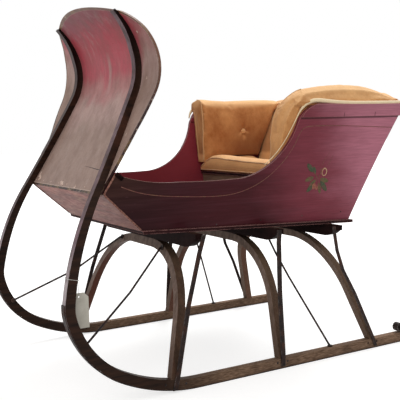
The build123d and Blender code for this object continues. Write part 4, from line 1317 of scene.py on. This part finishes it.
# light wooden bead down the front edge of each side panel and along the toe: x, z
toeBead = {"radius": 0.0034, "out": -0.0010, "points": [
    (0.5500, 0.7700), (0.5530, 0.7650), (0.5700, 0.7360), (0.5850, 0.7100), (0.5868, 0.7050),
    (0.5840, 0.7000), (0.5700, 0.6870), (0.5000, 0.6220), (0.4420, 0.5690),
]}
bracket = {
    "size": (0.034, 0.0045, 0.016), "x": 0.5360, "z": 0.7640, "turn": math.radians(-38), "edge": 0.0016,
    "lift": 0.0002, "bolt": 0.0055, "boltX": 0.004, "boltFlat": 0.7,
}


def addBeads():
    for word, side in bothSides:
        rows = [(x, side * (sideY(z) + toeBead["out"]), z, toeBead["radius"]) for x, z in toeBead["points"]]
        tube("toeBead" + word, rows, "bead", "toe_paint")


def addBrackets():
    thick = bracket["size"][1]
    for word, side in bothSides:
        bm = bmesh.new()
        bmesh.ops.create_cube(bm, size=1.0)
        bmesh.ops.scale(bm, vec=bracket["size"], verts=bm.verts)
        bmesh.ops.bevel(bm, geom=bm.edges[:], offset=bracket["edge"], segments=2, profile=0.5,
                        affect="EDGES", material=-1)
        cap = bmesh.ops.create_uvsphere(bm, u_segments=12, v_segments=8, radius=bracket["bolt"])["verts"]
        bmesh.ops.scale(bm, vec=(1.0, bracket["boltFlat"], 1.0), verts=cap)
        bmesh.ops.translate(bm, vec=(bracket["boltX"], thick / 2, 0.0), verts=cap)
        lean = Matrix.Rotation(-body["flare"], 4, "X") @ Matrix.Rotation(bracket["turn"], 4, "Y")
        place = onPanel(1, bracket["x"], bracket["z"], thick / 2 + bracket["lift"])
        bmesh.ops.transform(bm, matrix=Matrix.Translation(place) @ lean, verts=bm.verts)
        if side < 0:
            bmesh.ops.scale(bm, vec=(1.0, -1.0, 1.0), verts=bm.verts)
        bmesh.ops.recalc_face_normals(bm, faces=bm.faces)
        onSleigh(meshPiece(bm, "bracket" + word, "crossbar", True), "iron")


# rays that look for a panel's outer face start this far out, in front of the dash and beside the body
rayStart = {"front": 0.9, "side": 0.6}


def addStuds(name, node, rows, way, radius, look, slot, height=0.4):
    # low round heads where rays along way meet the node
    bm = bmesh.new()
    way = Vector(way).normalized()
    for start in rows:
        hit, spot, normal, _ = nodes[node].ray_cast(Vector(start), way)
        if not hit:
            continue
        head = bmesh.ops.create_uvsphere(bm, u_segments=10, v_segments=6, radius=radius)["verts"]
        bmesh.ops.scale(bm, vec=(1.0, 1.0, height), verts=head)
        turn = normal.to_track_quat("Z", "Y").to_matrix().to_4x4()
        bmesh.ops.transform(bm, matrix=Matrix.Translation(spot) @ turn, verts=head)
    onSleigh(meshPiece(bm, name, look, True), slot)


dashNails = {
    "toeY": (-0.33, -0.24, -0.15, -0.06, 0.03, 0.12, 0.21, 0.30), "toeZ": 0.722, "toeRadius": 0.0030,
    # height, distance from the middle: down the wings beside the bars
    "wing": [(1.256, 0.330), (1.098, 0.340), (0.905, 0.352), (0.772, 0.356)],
    "wingRadius": 0.0024, "chipRadius": 0.0046,
    # bare patches: y, z, half sizes; none goes below bareLow
    "bare": [(-0.031, 0.7240, 0.014, 0.007), (-0.016, 0.7190, 0.008, 0.005), (-0.300, 0.7300, 0.012, 0.010),
             (-0.316, 0.7420, 0.008, 0.012), (0.296, 0.7870, 0.010, 0.008), (0.120, 0.7150, 0.010, 0.004)],
    "bareLow": 0.7125,
    # a split in the board: y, z along it
    "split": [(0.120, 0.7905), (0.180, 0.7880), (0.232, 0.7840), (0.285, 0.7815)],
}
sillNails = {"fromX": -0.47, "toX": 0.33, "count": 5, "z": 0.560, "radius": 0.0030}


def addNails():
    front, inward = rayStart["front"], (-1, 0, 0)
    rows = [(front, y, dashNails["toeZ"]) for y in dashNails["toeY"]]
    addStuds("toeNails", "dash_panel", rows, inward, dashNails["toeRadius"], "chip", "dash_paint")
    for word, side in bothSides:
        rows = [(front, side * y, z) for z, y in dashNails["wing"]]
        addStuds("wingChips" + word, "dash_panel", rows, inward, dashNails["chipRadius"],
                 "chip", "dash_paint", 0.16)
        addStuds("wingNails" + word, "dash_panel", rows, inward, dashNails["wingRadius"], "iron", "iron", 0.5)
        places = spread(sillNails["fromX"], sillNails["toX"], sillNails["count"])
        rows = [(x, side * rayStart["side"], sillNails["z"]) for x in places]
        addStuds("sillNails" + word, "side_panel_" + word.lower(), rows, (0, -side, 0), sillNails["radius"],
                 "iron", "iron", 0.35)


def onDash(y, z, lift=0.0):
    _, spot, normal, _ = nodes["dash_panel"].ray_cast(Vector((rayStart["front"], y, z)), Vector((-1, 0, 0)))
    return spot + normal * lift


def addDashWear():
    for i, (y, z, wide, high) in enumerate(dashNails["bare"]):
        bm = bmesh.new()
        bmesh.ops.create_uvsphere(bm, u_segments=18, v_segments=6, radius=1.0)
        for v in bm.verts:
            turn = math.atan2(v.co.y, v.co.x)
            ragged = 1.0 + 0.28 * math.sin(3.0 * turn + i) + 0.16 * math.sin(7.0 * turn + 2.0 * i)
            low = max(z + v.co.y * high * ragged, dashNails["bareLow"])
            v.co = onDash(y + v.co.x * wide * ragged, low, 0.0001 + 0.0004 * v.co.z)
        bmesh.ops.recalc_face_normals(bm, faces=bm.faces)
        onSleigh(meshPiece(bm, "dashBare%d" % (i + 1), "chip", True), "dash_paint")
    rows = [(*onDash(y, z, -0.0003), 0.0006 + 0.0004 * i) for i, (y, z) in enumerate(dashNails["split"])]
    tube("dashSplit", rows, "iron", "dash_paint", sides=2)


# bolt heads where the arches stand on the runners: x of each foot
footBolts = {"x": (0.340, 0.421, -0.104, -0.057, -0.560, -0.513), "z": 0.026, "radius": 0.0046,
             "frontX": 0.4, "frontLift": 0.010}    # the foremost stands higher, where the sole rises


def addFootBolts():
    for word, side in bothSides:
        rows = []
        for x in footBolts["x"]:
            lift = footBolts["frontLift"] if x > footBolts["frontX"] else 0.0
            rows.append((x, side * rayStart["side"], footBolts["z"] + lift))
        addStuds("footBolts" + word, "runner_" + word.lower(), rows, (0, -side, 0), footBolts["radius"],
                 "iron", "iron", 0.45)


addBeads()
addBrackets()
addNails()
addDashWear()
addFootBolts()
for word, side in bothSides:
    addOrnament(word, side)
print("ornament made")
